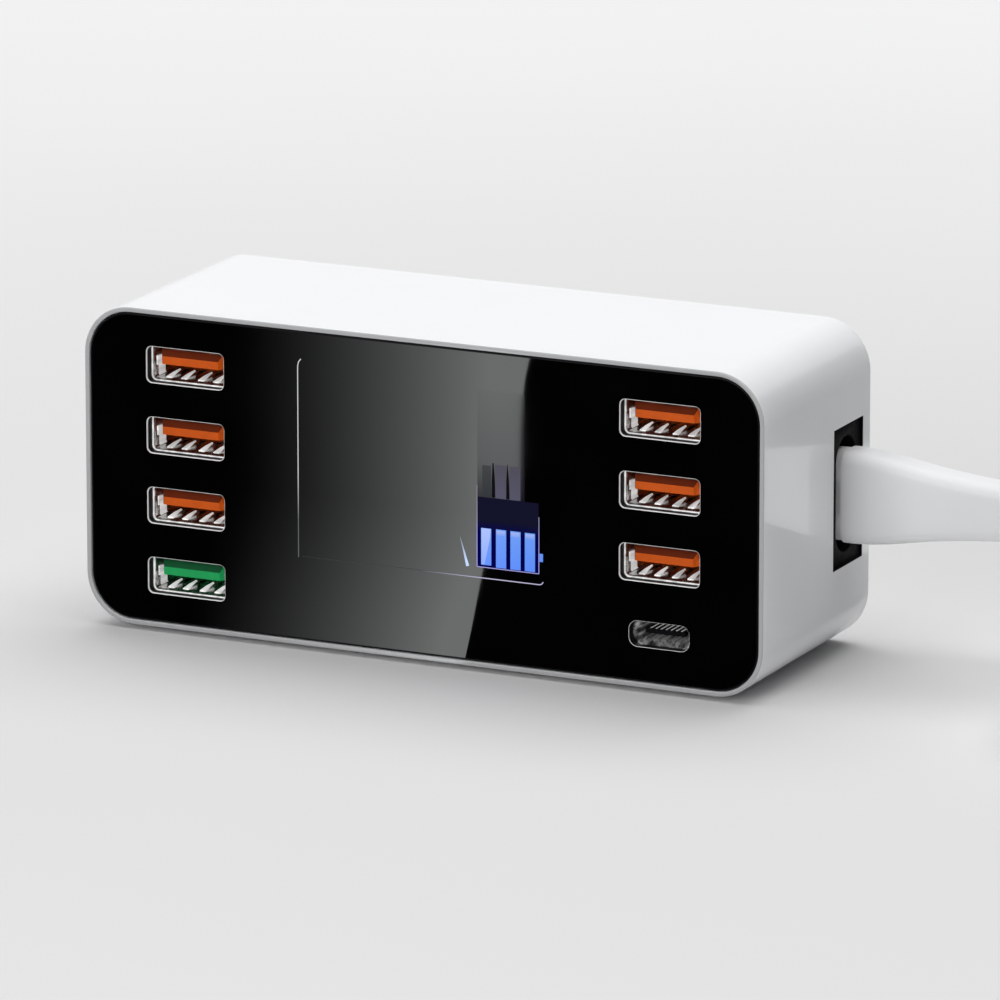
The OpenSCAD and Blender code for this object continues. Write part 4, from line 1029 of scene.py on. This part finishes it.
mark_y = panel_y - 0.02
rows = [
    plain_row("battery_window", 1, 1, 10.5, 11.2, 15.15, 22.6, 0, window_dark),
    plain_row("battery_veil", 1, 1, 8.1, 17.0, 13.95, 36.7, 0, window_veil),
    plain_row("unlit_segment_first", 1, 1, 1.5, 5.0, 11.5, 30.8, 0.01, faint_glow),
    plain_row("unlit_segments", 2, 2.46, 1.85, 5.3, 13.9, 30.9, 0.01, unlit_glow),
    plain_row("lit_segment_first", 1, 1, 1.75, 5.9, 11.42, 20.3, 0.01, blue_light),
    plain_row("segment_tops", 4, 2.48, 1.5, 0.8, 11.45, 22.7, 0.015, top_light),
    plain_row("lit_segments", 3, 2.47, 1.75, 6.15, 13.98, 20.2, 0.01, blue_light),
]
print("rows of plates:", len(rows), "with", sum(len(row.data.polygons) for row in rows), "faces")


# %% Lines of the display
def strip_mark(name, route, width):
    """A flat line along points (x, z) of the sheet; its width is one number, or one for each point."""
    points = []
    for i, (x, z) in enumerate(route):
        a, b = route[max(i - 1, 0)], route[min(i + 1, len(route) - 1)]
        dx, dz = b[0] - a[0], b[1] - a[1]
        reach = (width[i] if isinstance(width, list) else width) / 2 / math.hypot(dx, dz)
        points += [(x - dz * reach, mark_y - 0.01, z + dx * reach), (x + dz * reach, mark_y - 0.01, z - dx * reach)]
    faces = [(2 * i, 2 * i + 1, 2 * i + 3, 2 * i + 2) for i in range(len(route) - 1)]
    piece = mesh_piece(name, points, faces, False)
    with edited(piece) as work:
        for face in work.faces:
            if face.normal.y > 0:
                face.normal_flip()
    return piece


# The glint is a painted highlight: a pale plate over part of the first lit segment, left of a slant.
glint = mesh_piece("glint", [(x, mark_y - 0.02, z) for x, z in (
    (10.6, 23.2), (12.2, 23.2), (12.1, 21.8), (11.15, 17.4), (10.6, 17.4))], [(0, 4, 3, 2, 1)], False)
dress(glint, painted_glint)
left_line = [(-21.12, 15.0 + k) for k in range(0, 31, 2)] + [(-21.1, 45.9), (-20.95, 46.5), (-20.55, 47.0)]
bottom_line = [(-20.5 + 2 * k, 15.22) for k in range(0, 21)] + [(20.6, 15.22), (20.95, 15.35), (21.2, 15.7)]
battery_line = [(9.85, 30), (9.85, 24), (9.85, 16.95), (15, 16.95), (20.45, 16.95), (20.45, 20), (20.45, 26)]
lines = [
    ("frame_line_left", left_line, 0.17, line_light), ("frame_line_bottom", bottom_line, 0.15, bottom_light),
    ("battery_line", battery_line[:3], 0.13, violet_light),
    ("battery_base_line", battery_line[2:5], 0.13, violet_light),
    ("battery_end_line", battery_line[4:], 0.13, violet_light),
    ("battery_nub", [(20.85, 18.9), (20.85, 20.2)], 0.6, blue_light),
    ("dark_gap_left", [(12.7, 28.3), (12.65, 31), (12.6, 33.8)], [0.6, 0.5, 0.2], dark_gap),
    ("dark_gap_middle", [(15.15, 28.3), (15.1, 31), (15.05, 33.8)], [0.55, 0.45, 0.1], dark_gap),
    ("tick", [(6.95, 21.4), (7.6, 19.2), (8.25, 16.85)], [0.08, 0.28, 0.55], tick_light),
]
for name, route, width, finish in lines:
    dress(strip_mark(name, route, width), finish)
print("lines of the display:", len(lines), "and one glint")

# %% [markdown]
# ## Mains inlet
# The inlet is a black moulding that snaps into the housing's window. Its CAD solid has the right shape with
# hard edges. It could be modelled again, but a copy of the solid with a small bevel is enough. A thin collar
# is added, because a real inlet lines the cut edge of the window with a wall of its own.


# %% Mains inlet
def eased_copy(node, name, radius):
    """A copy of a CAD node whose hard edges have a small round, in millimetres."""
    piece = bpy.data.objects.new(name, nodes[node].data.copy())
    bpy.context.scene.collection.objects.link(piece)
    with edited(piece) as work:
        bmesh.ops.remove_doubles(work, verts=work.verts, dist=mm(0.002))
        bmesh.ops.dissolve_limit(work, angle_limit=math.radians(1), verts=work.verts, edges=work.edges)
    ease = piece.modifiers.new("ease", "BEVEL")
    ease.width, ease.segments = mm(radius), 2
    ease.limit_method, ease.angle_limit = "ANGLE", math.radians(30)
    ease.harden_normals = False
    applied(piece)
    return sharp_where_turned(piece, 40)


inlet = eased_copy("mains_inlet", "inlet", 0.2)
fit, collar_t = 0.01, 0.15
collar_in, collar_out = body_w / 2 - 1.3, body_w / 2 - 0.03
collar = [[(x, inlet_y + y, inlet_z + z) for y, z in ((-w, -h), (w, -h), (w, h), (-w, h))]
          for x, w, h in ((x, inlet_w / 2 - gap, inlet_h / 2 - gap) for x, gap in (
              (collar_in, fit), (collar_out, fit), (collar_out, fit + collar_t), (collar_in, fit + collar_t)))]
joined(inlet, loft("collar", collar, smooth=False, tube=True))
dress(inlet, inlet_black, ["mains_inlet"])
print("inlet:", len(inlet.data.polygons), "faces")

# %% [markdown]
# ## Floor
# The charger stands on a pale floor that runs up into the background without an edge. A curved backdrop could
# do that. A very large flat floor does it from every side, if its own light makes up for what the lamp doesn't
# reach. That light is for the eye and for mirrors only, so it never lights the charger or fills its shadow.


# %% Floor
def calc(tree, operation, first, second):
    """One math node; each input is a number or another node's output."""
    node = tree.nodes.new("ShaderNodeMath")
    node.operation = operation
    for socket, value in zip(node.inputs, (first, second)):
        if isinstance(value, (int, float)):
            socket.default_value = value
        else:
            tree.links.new(value, socket)
    return node.outputs[0]


def seen_only(tree, straight, mirrored):
    """A level for what the camera sees, one for what a shiny face mirrors, and 0 for light on things."""
    path = tree.nodes.new("ShaderNodeLightPath")
    return calc(tree, "MAXIMUM", calc(tree, "MULTIPLY", path.outputs["Is Camera Ray"], straight),
                calc(tree, "MULTIPLY", path.outputs["Is Glossy Ray"], mirrored))


lamp_height = 1.12
floor = mesh_piece("floor", [(-9000, -9000, 0), (9000, -9000, 0), (9000, 9000, 0), (-9000, 9000, 0)], [(0, 1, 2, 3)])
floor_finish, tree, shader = empty_finish("floor")
haze = noise_of(tree, 3, 2)
tint = ramp_of(tree, haze.outputs["Fac"], grey(0.7), grey(0.72))
tree.links.new(tint.outputs["Color"], shader.inputs["Base Color"])
shader.inputs["Roughness"].default_value = 0.9
shader.inputs["Specular IOR Level"].default_value = 0.0
place = tree.nodes.new("ShaderNodeTexCoord")
away = tree.nodes.new("ShaderNodeVectorMath")
away.operation = "LENGTH"
tree.links.new(place.outputs["Object"], away.inputs[0])
reach = calc(tree, "ADD", calc(tree, "POWER", away.outputs["Value"], 2.0), lamp_height ** 2)
lit_share = calc(tree, "POWER", calc(tree, "DIVIDE", lamp_height ** 2, reach), 2.0)
missing = calc(tree, "SUBTRACT", 1.0, lit_share)
floor_light = calc(tree, "MULTIPLY", missing, seen_only(tree, straight=0.64, mirrored=0.4))
tree.links.new(floor_light, shader.inputs["Emission Strength"])
shader.inputs["Emission Color"].default_value = (0.99, 1.0, 1.0, 1)
floor.data.materials.append(floor_finish)
print("floor:", round(2 * abs(floor.data.vertices[0].co.x)), "m wide")

# %% [markdown]
# ## Card that the black sheet mirrors
# The black sheet is a mirror, and from this camera it mirrors the floor in front of the charger. A
# photographer lays a black card there, with a grey gradient on it, and that is what the sheet shows. The
# gradient could be painted on the sheet, but then it would stay there when the charger is turned. The card
# is seen in reflections only, so the floor itself stays plain. Each of its points is found by mirroring the
# camera in the sheet, and following the line through a point of the sheet down to the card.

# %% Gradient card
eye = 1000 * camera.location
mirrored_eye = Vector((eye.x, 2 * panel_y - eye.y, eye.z))
card_z = 0.35


def on_card(x, z):
    """The point of the card that the camera sees mirrored at a point of the sheet."""
    ray = Vector((x, panel_y, z)) - mirrored_eye
    return mirrored_eye + ray * ((card_z - mirrored_eye.z) / ray.z)


gradient_edge = [(0.9, 7.5), (1.46, 7.66), (6.5, 8.8), (11.55, 9.83), (17, 10.95), (22.4, 12.24), (25.5, 14.8),
                 (28.6, 17.27), (34, 17.3), (39.7, 17.37), (44.2, 17.6), (48, 18.1), (51.2, 18.84), (52.2, 19.1)]
columns = 24
# The sheet shows a grey that grows along x and then stays level. The card's light is that grey without the
# screen's gamma, divided by the small share that polished plastic mirrors.
brightest, grey_per_mm, display_gamma, head_on_mirror = 0.415, 0.009, 2.2, 0.04
points, brightness = [], []
for z, right_edge in gradient_edge:
    left_edge = -43 + 8.5 * min(1.0, max(0.0, (z - 3) / 22))
    for k in range(columns + 1):
        x = left_edge + (right_edge - left_edge) * k / columns
        points.append(tuple(on_card(x, z)))
        brightness.append(min(brightest, grey_per_mm * (x - left_edge)) ** display_gamma / head_on_mirror)
row = columns + 1
faces = [(r * row + k, r * row + k + 1, (r + 1) * row + k + 1, (r + 1) * row + k)
         for r in range(len(gradient_edge) - 1) for k in range(columns)]
gradient = mesh_piece("gradient_card", points, faces, False)
gradient.data.attributes.new("level", "FLOAT", "POINT").data.foreach_set("value", brightness)
print("gradient card:", [round(v) for v in points[0]], "to", [round(v) for v in points[-1]], "mm")


# %% Black card, and the finishes of both
def mirrored_only(piece):
    """A card is seen in reflections alone: not by the camera, and neither lit nor casting a shadow."""
    piece.visible_camera = piece.visible_diffuse = piece.visible_shadow = False
    piece.visible_transmission = piece.visible_volume_scatter = False


black_card = mesh_piece("black_card", [(x, y, card_z - 0.1) for x, y in (
    (-300, -21.3), (-300, -320), (150, -320), (150, -21.3))], [(0, 1, 2, 3)], False)
for card in (gradient, black_card):
    finish, tree, shader = empty_finish(card.name)
    shader.inputs["Base Color"].default_value = grey(0)
    shader.inputs["Specular IOR Level"].default_value = 0.0
    card.data.materials.append(finish)
    mirrored_only(card)
gradient_finish = gradient.data.materials[0]
tree = gradient_finish.node_tree
shader = tree.nodes["Principled BSDF"]
stored = tree.nodes.new("ShaderNodeAttribute")
stored.attribute_name = "level"
tree.links.new(stored.outputs["Fac"], shader.inputs["Emission Strength"])
shader.inputs["Emission Color"].default_value = (0.96, 1.0, 0.99, 1)
print("brightest point of the gradient:", round(max(brightness), 2))

# %% [markdown]
# ## Card that the right wall mirrors
# The white wall is glossy, and seen at a low angle it mirrors what stands beside it. In the photograph it is
# dark below, has a light band that rises towards the front, and is darker above. A room could be built for
# it, but one card of three bands says the same, close beside the wall and for mirrors only.

# %% Side card
side_x = body_w / 2
eye_beside = Vector((2 * side_x - eye.x, eye.y, eye.z))
points, faces, tones = [], [], []
for light_level, low_front, low_back, high_front, high_back in (
    (0.13, 3.2, 3.2, 29.3, 14.4), (1.05, 29.3, 14.4, 40.9, 32.8), (0.25, 40.9, 32.8, 56, 56),
):
    n = len(points)
    for y, z in ((-20.5, low_front), (21, low_back), (21, high_back), (-20.5, high_front)):
        ray = Vector((side_x, y, z)) - eye_beside
        points.append(tuple(eye_beside + ray * ((side_x + 5 - eye_beside.x) / ray.x)))
    faces.append((n, n + 3, n + 2, n + 1))
    tones.append(light_level)
side_card = mesh_piece("side_card", points, faces, False)
side_card.data.attributes.new("level", "FLOAT", "FACE").data.foreach_set("value", tones)
side_card.data.materials.append(gradient_finish)
mirrored_only(side_card)
print("side card:", len(tones), "bands, tones", tones)

# %% [markdown]
# ## Lamps and world
# One large soft lamp hangs above, as over a table of small goods, and a weaker one stands in front. Many small
# lamps would each leave a spot in the gloss. The lamp above isn't mirrored, so that the top of the white
# housing keeps its colour from every side. The world is pale for the eye and for mirrors, and weak as a light.
# The view transform is Standard, so that a colour shows as it is written.


# %% Lamps and world
def lamp(name, at, towards, size, watts):
    """A square soft lamp; size is its side in metres."""
    data = bpy.data.lights.new(name, "AREA")
    data.shape, data.size, data.energy = "SQUARE", size, watts
    piece = bpy.data.objects.new(name, data)
    bpy.context.scene.collection.objects.link(piece)
    piece.location = at
    piece.rotation_euler = (Vector(towards) - Vector(at)).to_track_quat("-Z", "Y").to_euler()
    return piece


softbox = lamp("top softbox", (-0.05, 0.2, lamp_height), (0, 0, 0.03), size=1.45, watts=16.4)
softbox.visible_glossy = False
fill = lamp("front fill", (-0.15, -1.3, 0.45), (0, 0, 0.03), size=0.7, watts=7.5)
world = bpy.data.worlds.new("studio")
bpy.context.scene.world = world
world.use_nodes = True
backdrop = world.node_tree.nodes["Background"]
backdrop.inputs["Color"].default_value = (0.97, 0.98, 1.0, 1)
sky_light = 0.12
sky = calc(world.node_tree, "ADD", seen_only(world.node_tree, straight=0.78, mirrored=0.72), sky_light)
world.node_tree.links.new(sky, backdrop.inputs["Strength"])
bpy.context.scene.view_settings.view_transform = "Standard"
print("lamps:", round(softbox.data.energy, 1), "W above and", round(fill.data.energy, 1), "W in front")
